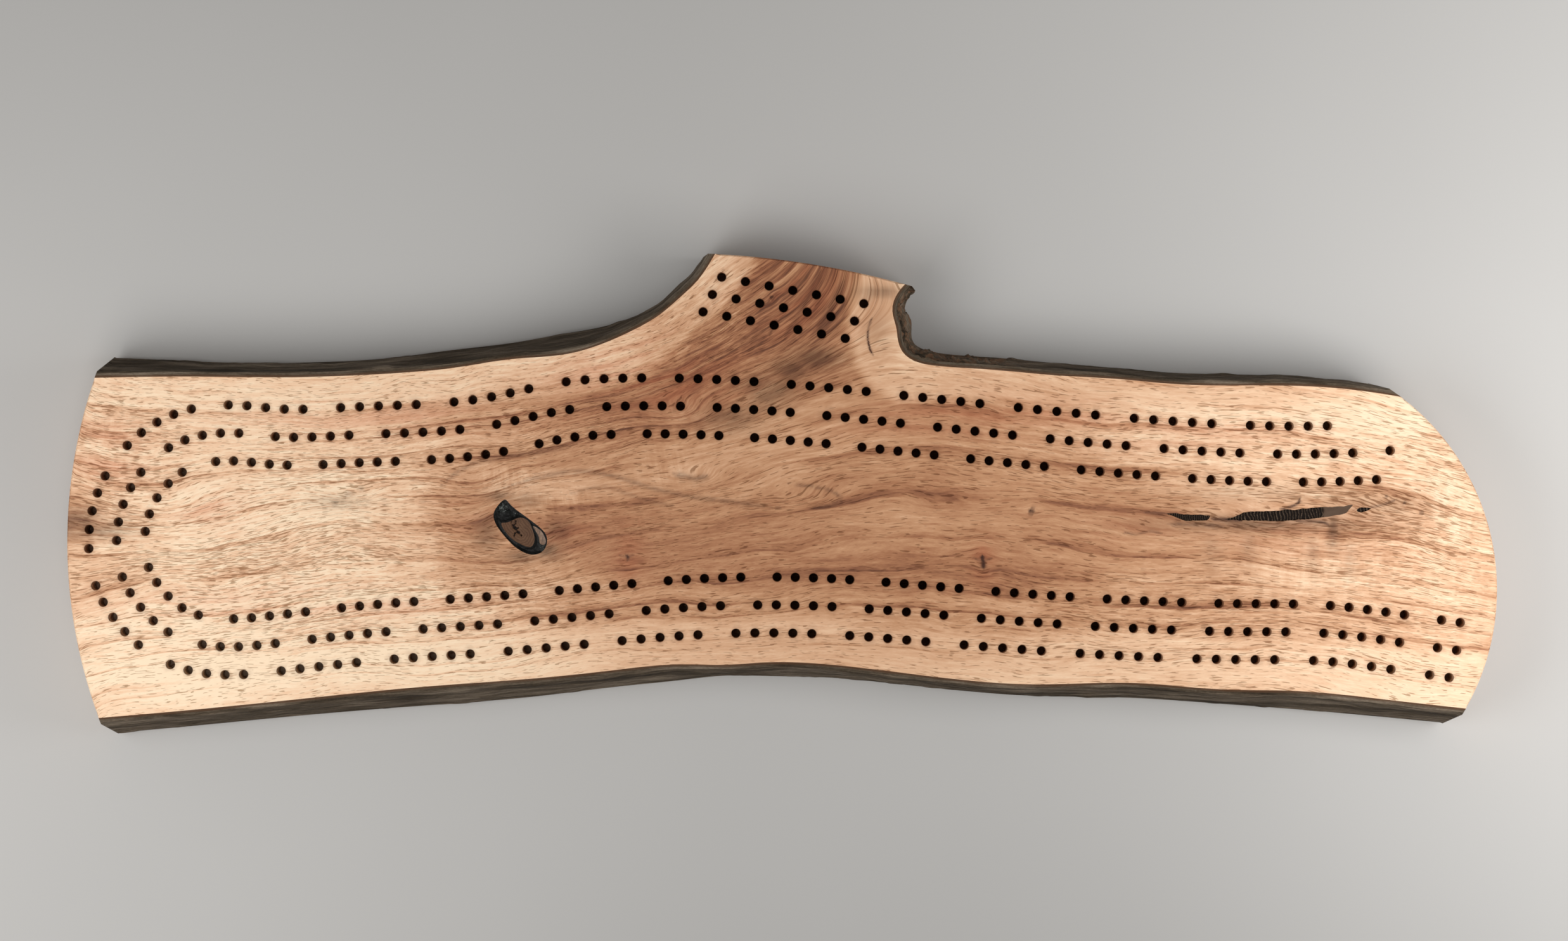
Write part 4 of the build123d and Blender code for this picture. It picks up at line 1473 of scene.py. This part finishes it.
def build_cover(material):
    """The brass plate, with an eased lower rim and a clean pivot hole."""
    low, high = box_mm("storage_cover")
    radius = (high[1] - low[1]) / 2
    hole = counter_clockwise(face_outlines("storage_cover", high[2])[1])
    hole_centre = hole.mean(axis=0)
    hole_radius = np.linalg.norm(hole - hole_centre, axis=1).mean()
    mesh = MeshParts()
    outlines = []
    rows = []
    for inset, height in (
        *((inset, low[2] + rise) for inset, rise in COVER_ROUND),
        (0.0, high[2] - COVER_TOP_EASE),
        (COVER_TOP_EASE, high[2]),
    ):
        outlines.append(stadium(low[0] + radius, high[0] - radius, (high[1] + low[1]) / 2,
                                radius - inset, COVER_SIDES))
        rows.append(mesh.add(outlines[-1], height))
    for lower, upper in zip(rows[:-1], rows[1:]):
        mesh.bridge(upper, lower)
    ring = circle(hole_centre, hole_radius, COVER_HOLE_SIDES)
    hole_low = mesh.add(ring, low[2])
    hole_high = mesh.add(ring, high[2])
    mesh.bridge(hole_low, hole_high)
    for outline, rim, bore, height, flip in (
        (outlines[0], rows[0], hole_low, low[2], True),
        (outlines[-1], rows[-1], hole_high, high[2], False),
    ):
        inner = scattered(low[:2], high[:2], COVER_SPACING, 7)
        inner = well_inside(inner, outline, COVER_EDGE_GAP)
        inner = inner[np.linalg.norm(inner - hole_centre, axis=1) > hole_radius + COVER_HOLE_GAP]
        points, triangles = triangulated(outline, [ring], inner)
        extra = mesh.add(points[len(outline) + len(ring):], height)
        mesh.cover(triangles, np.concatenate([rim, bore, extra]), flip=flip)
    add_piece("brass_storage_cover", mesh.vertices, mesh.faces, material,
              ["storage_cover"], "cover")


def build_fittings():
    brass = brass_look()
    steel = metal_look("steel", linear(196, 198, 202), linear(150, 152, 158), 0.24)
    black = metal_look("black_metal", linear(52, 52, 56), linear(34, 34, 38), 0.34)
    rubber = rubber_look()
    build_cover(brass)
    kinds = {"brass": (brass, "brass"), "steel": (steel, "steel"), "black": (black, "black_metal")}
    for node in sorted(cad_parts):
        if node.startswith("peg_"):
            build_turned(node + "_turned", node, 0, PEG_SIDES, *kinds[node.split("_")[1]], node)
        elif node.startswith("foot_"):
            build_turned(node + "_rubber", node, 2, FOOT_SIDES, rubber, "rubber", "board")
    # the screw's CAD shape is shown as it is, so it only gets its material
    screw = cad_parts["cover_pivot_screw"]
    for material_slot in screw.material_slots:
        material_slot.material = brass


# ---- materials ---------------------------------------------------------------------------------
def linear(red, green, blue):
    """A colour given in 0-255 display values, as the shader's linear values."""
    values = []
    for part in (red, green, blue):
        share = part / 255
        values.append(share / 12.92 if share <= 0.04045 else ((share + 0.055) / 1.055) ** 2.4)
    return (*values, 1.0)


class Look:
    """Short calls for the nodes that make up one material."""

    def __init__(self, name):
        self.material = bpy.data.materials.new(name)
        self.material.use_nodes = True
        self.tree = self.material.node_tree
        self.shader = self.tree.nodes["Principled BSDF"]

    def node(self, kind, **settings):
        made = self.tree.nodes.new(kind)
        for key, value in settings.items():
            setattr(made, key, value)
        return made

    def feed(self, socket, value):
        if isinstance(value, bpy.types.NodeSocket):
            self.tree.links.new(value, socket)
        else:
            socket.default_value = value

    def set(self, name, value):
        self.feed(self.shader.inputs[name], value)

    def attribute(self, name, output="Vector"):
        return self.node("ShaderNodeAttribute", attribute_name=name).outputs[output]

    def object_place(self):
        """Position in the object's own frame, in millimetres."""
        place = self.node("ShaderNodeTexCoord").outputs["Object"]
        return self.scaled(place, (1 / MM, 1 / MM, 1 / MM))

    def math(self, operation, first, second=0.0, third=0.0, clamp=False):
        made = self.node("ShaderNodeMath", operation=operation, use_clamp=clamp)
        self.feed(made.inputs[0], first)
        self.feed(made.inputs[1], second)
        self.feed(made.inputs[2], third)
        return made.outputs[0]

    def scaled(self, vector, factors):
        made = self.node("ShaderNodeVectorMath", operation="MULTIPLY")
        self.feed(made.inputs[0], vector)
        made.inputs[1].default_value = factors
        return made.outputs[0]

    def parts(self, vector):
        made = self.node("ShaderNodeSeparateXYZ")
        self.feed(made.inputs[0], vector)
        return made.outputs[0], made.outputs[1], made.outputs[2]

    def joined(self, x, y, z):
        made = self.node("ShaderNodeCombineXYZ")
        for socket, value in zip(made.inputs, (x, y, z)):
            self.feed(socket, value)
        return made.outputs[0]

    def noise(self, vector, size, detail=2.0, roughness=0.5, distortion=0.0):
        """Noise from 0 to 1 whose features have the given size along each axis."""
        made = self.node("ShaderNodeTexNoise")
        self.feed(made.inputs["Vector"], self.scaled(vector, tuple(1 / s for s in size)))
        made.inputs["Scale"].default_value = 1.0
        made.inputs["Detail"].default_value = detail
        made.inputs["Roughness"].default_value = roughness
        made.inputs["Distortion"].default_value = distortion
        return made.outputs[0]

    def cells(self, vector, size):
        """Distance to the nearest of scattered points, in cells of the given size."""
        made = self.node("ShaderNodeTexVoronoi")
        self.feed(made.inputs["Vector"], self.scaled(vector, tuple(1 / s for s in size)))
        made.inputs["Scale"].default_value = 1.0
        return made.outputs["Distance"]

    def spread(self, value, low, high, to_low=0.0, to_high=1.0, smooth=False):
        kind = "SMOOTHSTEP" if smooth else "LINEAR"
        made = self.node("ShaderNodeMapRange", interpolation_type=kind)
        for socket, number in zip(made.inputs, (value, low, high, to_low, to_high)):
            self.feed(socket, number)
        return made.outputs[0]

    def step(self, value, low, high):
        return self.spread(value, low, high, smooth=True)

    def mix(self, factor, first, second, blend="MIX"):
        made = self.node("ShaderNodeMix", data_type="RGBA", blend_type=blend)
        self.feed(made.inputs["Factor"], factor)
        self.feed(made.inputs[6], first)
        self.feed(made.inputs[7], second)
        return made.outputs[2]

    def ramp(self, value, stops):
        made = self.node("ShaderNodeValToRGB")
        elements = made.color_ramp.elements
        while len(elements) < len(stops):
            elements.new(0.5)
        for element, (place, colour) in zip(elements, stops):
            element.position = place
            element.color = colour
        self.feed(made.inputs[0], value)
        return made.outputs[0]

    def bump(self, height, distance, strength):
        made = self.node("ShaderNodeBump")
        made.inputs["Strength"].default_value = strength
        made.inputs["Distance"].default_value = distance
        self.feed(made.inputs["Height"], height)
        return made.outputs[0]


WOOD_TONES = [
    (0.00, linear(254, 226, 192)),
    (0.17, linear(244, 203, 166)),
    (0.33, linear(225, 177, 139)),
    (0.50, linear(201, 149, 110)),
    (0.67, linear(175, 120, 84)),
    (0.83, linear(145, 93, 64)),
    (1.00, linear(106, 65, 44)),
]
TONE_TOP = 1.2
PITH_ACROSS = 51.7
PITH_HEIGHT = 44.0
RING_SPACING = 4.2
BRANCH_LOW_Y = 34.0
BRANCH_HIGH_Y = 50.0


def wood_look():
    look = Look("plank_wood")
    grain = look.attribute("grain")
    along, across, up = look.parts(grain)
    tone_and_shade, sap, stain = look.parts(look.attribute("zone"))
    pink, speckle, ripple = look.parts(look.attribute("mark"))
    line = look.attribute("line", "Fac")
    hole = look.attribute("hole", "Fac")
    _, plank_y, _ = look.parts(look.object_place())
    branch = look.step(plank_y, BRANCH_LOW_Y, BRANCH_HIGH_Y)

    # the lines wander a little to each side
    wide_drift = look.noise(grain, (75, 24, 24), 2.0)
    small_drift = look.noise(grain, (16, 5, 5), 2.0)
    drifted = look.math("MULTIPLY_ADD", wide_drift, 10.0, across)
    drifted = look.math("MULTIPLY_ADD", small_drift, 1.1, drifted)
    place = look.joined(along, drifted, up)

    # growth rings round a pith above the top face
    from_pith = look.math("SUBTRACT", drifted, PITH_ACROSS)
    above = look.math("SUBTRACT", up, PITH_HEIGHT)
    radius = look.math("SQRT", look.math("ADD", look.math("MULTIPLY", from_pith, from_pith),
                                         look.math("MULTIPLY", above, above)))
    uneven = look.noise(look.joined(0.0, radius, 0.0), (1, 8.5, 1), 1.0)
    phase = look.math("MULTIPLY_ADD", uneven, 2.4, look.math("DIVIDE", radius, RING_SPACING))
    within_ring = look.math("FRACT", phase)
    late = look.math("MULTIPLY", look.step(within_ring, 0.45, 0.90),
                     look.math("SUBTRACT", 1.0, look.step(within_ring, 0.93, 1.0)))
    ring_edge = look.math("MULTIPLY", look.step(within_ring, 0.80, 0.91),
                          look.math("SUBTRACT", 1.0, look.step(within_ring, 0.94, 1.0)))
    patchy = look.step(look.noise(look.joined(along, radius, 0.0), (45, 5, 1), 3.0, 0.6), 0.36, 0.62)
    ring = look.math("MULTIPLY", look.math("MULTIPLY_ADD", ring_edge, 1.1, late), patchy)
    ring = look.math("MULTIPLY", ring, look.math("MULTIPLY_ADD", branch, -0.8, 1.0))

    # bands, fibres, pores
    broad = look.noise(place, (170, 10, 10), 2.0)
    bands = look.noise(place, (95, 3.2, 3.2), 3.0, 0.6)
    fibres = look.noise(place, (19, 1.0, 1.0), 4.0, 0.72)
    fine = look.noise(place, (5.5, 0.55, 0.55), 3.0, 0.7)
    hairs = look.noise(place, (26, 0.6, 0.6), 2.0, 0.6)
    pore_noise = look.noise(place, (4.2, 0.27, 0.27), 1.0, 0.4)
    pore_density = look.noise(place, (24, 5, 5), 3.0, 0.6)
    threshold = look.math("MULTIPLY_ADD", late, -0.060, 0.680)
    threshold = look.math("MULTIPLY_ADD", speckle, -0.085, threshold)
    threshold = look.math("MULTIPLY_ADD", look.step(pore_density, 0.40, 0.62), -0.055, threshold)
    pores = look.step(look.math("SUBTRACT", pore_noise, threshold), 0.0, 0.05)

    # depth of colour, which carries the tone marks' painted shade
    depth = look.math("MULTIPLY_ADD", look.math("SUBTRACT", broad, 0.5), 0.40, tone_and_shade)
    depth = look.math("MULTIPLY_ADD", look.math("SUBTRACT", bands, 0.5), 0.31, depth)
    texture = look.math("MULTIPLY", look.math("SUBTRACT", fibres, 0.5), 0.62)
    texture = look.math("MULTIPLY_ADD", look.math("SUBTRACT", fine, 0.5), 0.52, texture)
    texture = look.math("MULTIPLY_ADD", look.step(hairs, 0.60, 0.72), 0.12, texture)
    liveliness = look.math("MULTIPLY_ADD", branch, 1.1, look.math("MULTIPLY_ADD", speckle, 0.9, 1.0))
    depth = look.math("MULTIPLY_ADD", texture, liveliness, depth)
    depth = look.math("MULTIPLY_ADD", ring, 0.17, depth)
    sap_edge = look.math("MULTIPLY_ADD", look.math("SUBTRACT", broad, 0.5), 7.0, sap)
    sap_edge = look.math("MULTIPLY_ADD", look.math("SUBTRACT", bands, 0.5), 5.0, sap_edge)
    sapwood = look.step(sap_edge, -2.2, 2.8)
    pale = look.math("MULTIPLY_ADD", depth, 0.70, -0.10)
    depth = look.math("ADD", look.math("MULTIPLY", depth, look.math("SUBTRACT", 1.0, sapwood)),
                      look.math("MULTIPLY", pale, sapwood))
    shimmer = look.noise(place, (2.8, 9, 9), 3.0, 0.6)
    lift = look.math("MULTIPLY", look.math("SUBTRACT", shimmer, 0.42), ripple)
    depth = look.math("MULTIPLY_ADD", lift, -0.85, depth)
    colour = look.ramp(look.math("DIVIDE", depth, TONE_TOP, clamp=True), WOOD_TONES)

    # pink bands, grey stains and dark lines
    rosy = look.math("MULTIPLY", pink, look.step(bands, 0.36, 0.66), clamp=True)
    colour = look.mix(look.math("MULTIPLY", rosy, 0.80), colour, linear(230, 182, 168), "MULTIPLY")
    stain_noise = look.noise(place, (12, 3.2, 3.2), 4.0, 0.65)
    stained = look.math("MULTIPLY", stain, look.spread(stain_noise, 0.30, 0.62, 0.45, 1.0), clamp=True)
    colour = look.mix(look.math("MULTIPLY", stained, 0.95), colour, linear(132, 128, 122), "MULTIPLY")
    ragged = look.spread(look.noise(place, (4, 0.5, 0.5), 3.0, 0.6), 0.3, 0.6, 0.35, 1.0)
    drawn = look.math("MULTIPLY", look.math("MULTIPLY", line, 1.35), ragged, clamp=True)
    colour = look.mix(drawn, colour, linear(70, 38, 24))
    colour = look.mix(look.math("MULTIPLY", pores, 0.75), colour, linear(166, 146, 124), "MULTIPLY")
    # painted shade in the peg holes, deepest on their floors, and a painted dark edge on their rims and
    # chamfers
    painted_hole_shade = look.math("MAXIMUM", hole, 0.0, clamp=True)
    colour = look.mix(look.math("MULTIPLY", painted_hole_shade, 0.60), colour, linear(82, 48, 28))
    rim = look.math("MULTIPLY", look.math("MINIMUM", hole, 0.0), -0.70, clamp=True)
    colour = look.mix(rim, colour, linear(84, 48, 28))
    look.set("Base Color", colour)

    sheen = look.spread(fibres, 0.3, 0.7, 0.46, 0.62)
    look.set("Roughness", look.math("MULTIPLY_ADD", pores, 0.2, sheen))
    look.set("Specular IOR Level", 0.28)
    relief = look.math("MULTIPLY_ADD", pores, -1.0, look.math("MULTIPLY", fibres, 0.5))
    relief = look.math("MULTIPLY_ADD", drawn, -0.8, relief)
    look.set("Normal", look.bump(relief, 0.00008, 0.7))
    return look.material


def bark_look():
    look = Look("bark")
    at, down, rough = look.parts(look.attribute("bark"))
    place = look.joined(at, down, look.math("MULTIPLY", down, 0.37))
    broad = look.noise(place, (38, 5, 5), 3.0)
    streaks = look.noise(place, (17, 1.0, 1.0), 4.0, 0.62)
    grains = look.noise(place, (1.3, 0.6, 0.6), 4.0, 0.7)
    shade = look.math("MULTIPLY_ADD", look.math("SUBTRACT", streaks, 0.5), 0.9, broad)
    shade = look.math("MULTIPLY_ADD", look.math("SUBTRACT", grains, 0.5), 0.4, shade)
    colour = look.ramp(shade, [
        (0.22, linear(48, 39, 30)),
        (0.42, linear(78, 67, 54)),
        (0.58, linear(104, 91, 77)),
        (0.78, linear(138, 124, 107)),
    ])
    # broken bark shows its lighter orange-brown inside
    chips = look.noise(place, (3.2, 2.2, 2.2), 4.0, 0.6)
    outer_part = look.step(down, 1.2, 3.2)
    broken = look.math("MULTIPLY", look.step(chips, 0.42, 0.62), look.math("MULTIPLY", rough, outer_part))
    inside_colour = look.mix(grains, linear(92, 62, 44), linear(158, 122, 94))
    colour = look.mix(look.math("MULTIPLY", broken, 0.85), colour, inside_colour)
    # inner bark by the wood
    from_wood = look.math("MULTIPLY_ADD", look.math("SUBTRACT", streaks, 0.5), 0.9, down)
    inner = look.math("SUBTRACT", 1.0, look.step(from_wood, 0.30, 1.1))
    colour = look.mix(look.math("MULTIPLY", inner, 0.8), colour, linear(92, 64, 45))
    look.set("Base Color", colour)
    look.set("Roughness", look.spread(grains, 0.3, 0.7, 0.76, 0.95))
    look.set("Specular IOR Level", 0.12)
    furrows = look.cells(place, (9, 1.7, 1.7))
    relief = look.math("MULTIPLY_ADD", grains, 0.5, streaks)
    relief = look.math("MULTIPLY_ADD", furrows, -0.7, relief)
    look.set("Normal", look.bump(relief, 0.0007, 0.8))
    return look.material


def resin_look():
    look = Look("black_resin")
    place = look.object_place()
    silver_and_highlight, _, _ = look.parts(look.attribute("inlay"))
    flecks = look.noise(place, (1.0, 0.8, 0.9), 4.0, 0.75, 0.6)
    cloud = look.noise(place, (3.2, 2.4, 3.0), 3.0)
    # silvery flecks, partly real flecks and partly painted highlights on the resin's ridges, most where
    # the silver places lie
    amount = look.math("MULTIPLY_ADD", silver_and_highlight, 0.20, look.math("MULTIPLY", cloud, 0.06))
    flecks_and_highlights = look.step(look.math("ADD", flecks, amount), 0.70, 0.84)
    base = look.mix(look.step(cloud, 0.35, 0.65), linear(8, 8, 7), linear(18, 17, 16))
    base = look.mix(look.math("MULTIPLY", silver_and_highlight, 0.7, clamp=True), base, linear(26, 28, 26))
    look.set("Base Color", look.mix(flecks_and_highlights, base, linear(104, 108, 104)))
    look.set("Roughness", look.spread(flecks, 0.3, 0.7, 0.26, 0.48))
    look.set("Specular IOR Level", 0.12)
    look.set("Normal", look.bump(flecks, 0.0002, 0.6))
    return look.material


def knot_look():
    look = Look("knot_wood")
    place = look.object_place()
    distance, crack, _ = look.parts(look.attribute("inlay"))
    wobble = look.noise(place, (2.6, 2.6, 2.6), 3.0)
    rings = look.math("FRACT", look.math("ADD", look.math("DIVIDE", distance, 0.85),
                                         look.math("MULTIPLY", wobble, 1.6)))
    fibres = look.noise(place, (0.7, 0.35, 0.5), 4.0, 0.7)
    shade = look.math("MULTIPLY_ADD", rings, 0.28, look.math("MULTIPLY", fibres, 0.55))
    colour = look.ramp(look.math("MULTIPLY_ADD", wobble, 0.3, shade), [
        (0.25, linear(64, 42, 29)),
        (0.50, linear(88, 61, 43)),
        (0.80, linear(114, 84, 62)),
    ])
    look.set("Base Color", look.mix(look.step(crack, 0.15, 0.65), colour, linear(24, 15, 11)))
    look.set("Specular IOR Level", 0.15)
    look.set("Roughness", look.spread(fibres, 0.3, 0.7, 0.45, 0.62))
    look.set("Normal", look.bump(look.math("ADD", fibres, rings), 0.00006, 0.5))
    return look.material


def sliver_look():
    look = Look("knot_sliver_wood")
    place = look.object_place()
    fibres = look.noise(place, (0.5, 1.6, 0.8), 4.0, 0.7)
    colour = look.ramp(fibres, [
        (0.30, linear(74, 54, 42)),
        (0.50, linear(122, 94, 74)),
        (0.72, linear(160, 132, 110)),
    ])
    look.set("Base Color", colour)
    look.set("Roughness", look.spread(fibres, 0.3, 0.7, 0.45, 0.62))
    look.set("Normal", look.bump(fibres, 0.00008, 0.5))
    return look.material


def crack_look():
    look = Look("crack_resin")
    place = look.object_place()
    ridge, poured, _ = look.parts(look.attribute("inlay"))
    grit = look.noise(place, (0.5, 0.5, 0.5), 4.0, 0.7)
    bark_dark = look.mix(grit, linear(10, 7, 5), linear(30, 21, 16))
    lit = look.math("MULTIPLY", ridge, look.spread(grit, 0.35, 0.65, 0.20, 0.80))
    colour = look.mix(lit, bark_dark, linear(134, 114, 96))
    grey = look.mix(look.noise(place, (5, 2, 2), 3.0), linear(78, 60, 48), linear(98, 79, 65))
    look.set("Base Color", look.mix(poured, colour, grey))
    look.set("Specular IOR Level", 0.06)
    look.set("Roughness", look.spread(grit, 0.3, 0.7, 0.35, 0.6))
    look.set("Normal", look.bump(grit, 0.0001, 0.5))
    return look.material


def brass_look():
    look = Look("brass")
    place = look.object_place()
    brushed = look.noise(place, (30, 0.35, 0.35), 3.0, 0.6)
    patina = look.noise(place, (14, 9, 9), 4.0, 0.6)
    speck = look.noise(place, (1.2, 1.2, 1.2), 3.0, 0.7)
    streaked = look.math("MULTIPLY_ADD", look.math("SUBTRACT", brushed, 0.5), 1.6, patina)
    colour = look.mix(look.math("MULTIPLY", streaked, 1.0, clamp=True), linear(222, 186, 116),
                      linear(176, 132, 68))
    colour = look.mix(look.math("MULTIPLY", look.step(speck, 0.62, 0.74), 0.45), colour,
                      linear(120, 84, 44))
    look.set("Base Color", colour)
    look.set("Metallic", 1.0)
    rough = look.math("MULTIPLY_ADD", brushed, 0.16, 0.22)
    look.set("Roughness", look.math("MULTIPLY_ADD", patina, 0.10, rough))
    look.set("Normal", look.bump(brushed, 0.00008, 0.6))
    return look.material


def metal_look(name, light_colour, dark_colour, roughness):
    look = Look(name)
    place = look.object_place()
    turned = look.noise(place, (0.18, 6, 6), 2.0, 0.6)
    worn = look.noise(place, (4, 2, 2), 4.0, 0.6)
    look.set("Base Color", look.mix(worn, light_colour, dark_colour))
    look.set("Metallic", 1.0)
    look.set("Roughness", look.math("MULTIPLY_ADD", turned, 0.14, roughness))
    look.set("Normal", look.bump(turned, 0.00002, 0.4))
    return look.material


def rubber_look():
    look = Look("rubber")
    place = look.object_place()
    dust = look.noise(place, (5, 5, 5), 4.0, 0.6)
    grit = look.noise(place, (0.35, 0.35, 0.35), 2.0)
    look.set("Base Color", look.mix(look.step(dust, 0.4, 0.75), linear(30, 30, 31), linear(58, 57, 55)))
    look.set("Roughness", look.spread(grit, 0.3, 0.7, 0.72, 0.9))
    look.set("Normal", look.bump(grit, 0.00008, 0.5))
    return look.material


# ---- stage, light and camera ---------------------------------------------------------------------
def floor_look():
    look = Look("stage_paper")
    place = look.object_place()
    cloudy = look.noise(place, (160, 160, 160), 2.0)
    tooth = look.noise(place, (1.2, 1.2, 1.2), 2.0)
    colour = look.mix(cloudy, linear(189, 187, 184), linear(195, 193, 190))
    look.set("Base Color", colour)
    look.set("Roughness", 0.85)
    look.set("Normal", look.bump(tooth, 0.00005, 0.3))
    return look.material


# Places and sizes from here on are in metres; the lens and the sensor are in millimetres.
FLOOR_HALF = 3.0
# name, place, the point that it faces, width and height, power in watts
SOFTBOXES = [
    ("left_softbox", (-0.37, -0.13, 0.46), (-0.28, 0.01, 0.0), (0.45, 0.45), 2.35),
    ("right_softbox", (0.49, -0.04, 0.40), (0.57, 0.18, 0.0), (0.42, 0.42), 3.3),
]
ROOM_COLOUR = (1.0, 0.985, 0.96, 1.0)
ROOM_STRENGTH = 0.17
CAMERA_PLACE = (0.00065, 0.0089, 1.430)
CAMERA_LENS = 91.7
CAMERA_SENSOR = 36.0
CAMERA_NEAR = 0.05
CAMERA_FAR = 20.0


def build_stage():
    mesh = bpy.data.meshes.new("stage_floor")
    corners = [(x * FLOOR_HALF, y * FLOOR_HALF, 0) for x, y in ((-1, -1), (1, -1), (1, 1), (-1, 1))]
    mesh.from_pydata(corners, [], [(0, 1, 2, 3)])
    mesh.materials.append(floor_look())
    floor = bpy.data.objects.new("stage_floor", mesh)
    bpy.context.scene.collection.objects.link(floor)


def build_softbox(name, place, target, size, power):
    data = bpy.data.lights.new(name, "AREA")
    data.shape = "RECTANGLE"
    data.size, data.size_y = size
    data.energy = power
    light = bpy.data.objects.new(name, data)
    light.location = place
    direction = Vector(target) - Vector(place)
    light.rotation_euler = direction.to_track_quat("-Z", "Y").to_euler()
    bpy.context.scene.collection.objects.link(light)


def build_lights():
    for softbox in SOFTBOXES:
        build_softbox(*softbox)
    world = bpy.data.worlds.new("soft_room")
    world.use_nodes = True
    background = world.node_tree.nodes["Background"]
    background.inputs["Color"].default_value = ROOM_COLOUR
    background.inputs["Strength"].default_value = ROOM_STRENGTH
    bpy.context.scene.world = world


def build_camera():
    data = bpy.data.cameras.new("camera")
    data.sensor_width = CAMERA_SENSOR
    data.lens = CAMERA_LENS
    data.clip_start = CAMERA_NEAR
    data.clip_end = CAMERA_FAR
    camera = bpy.data.objects.new("camera", data)
    camera.location = CAMERA_PLACE
    bpy.context.scene.collection.objects.link(camera)
    bpy.context.scene.camera = camera


# ---- put together --------------------------------------------------------------------------------
build_camera()
build_stage()
build_lights()
bpy.context.scene.view_settings.view_transform = "Standard"

grain = grain_fields()
pocket_loops = patch_loops()
build_slab(grain, pocket_loops, wood_look())
bark_material = bark_look()
for edge_name in LIVE_EDGES:
    build_bark(edge_name, bark_material)
build_knot(pocket_loops)
build_crack(pocket_loops)
build_fittings()
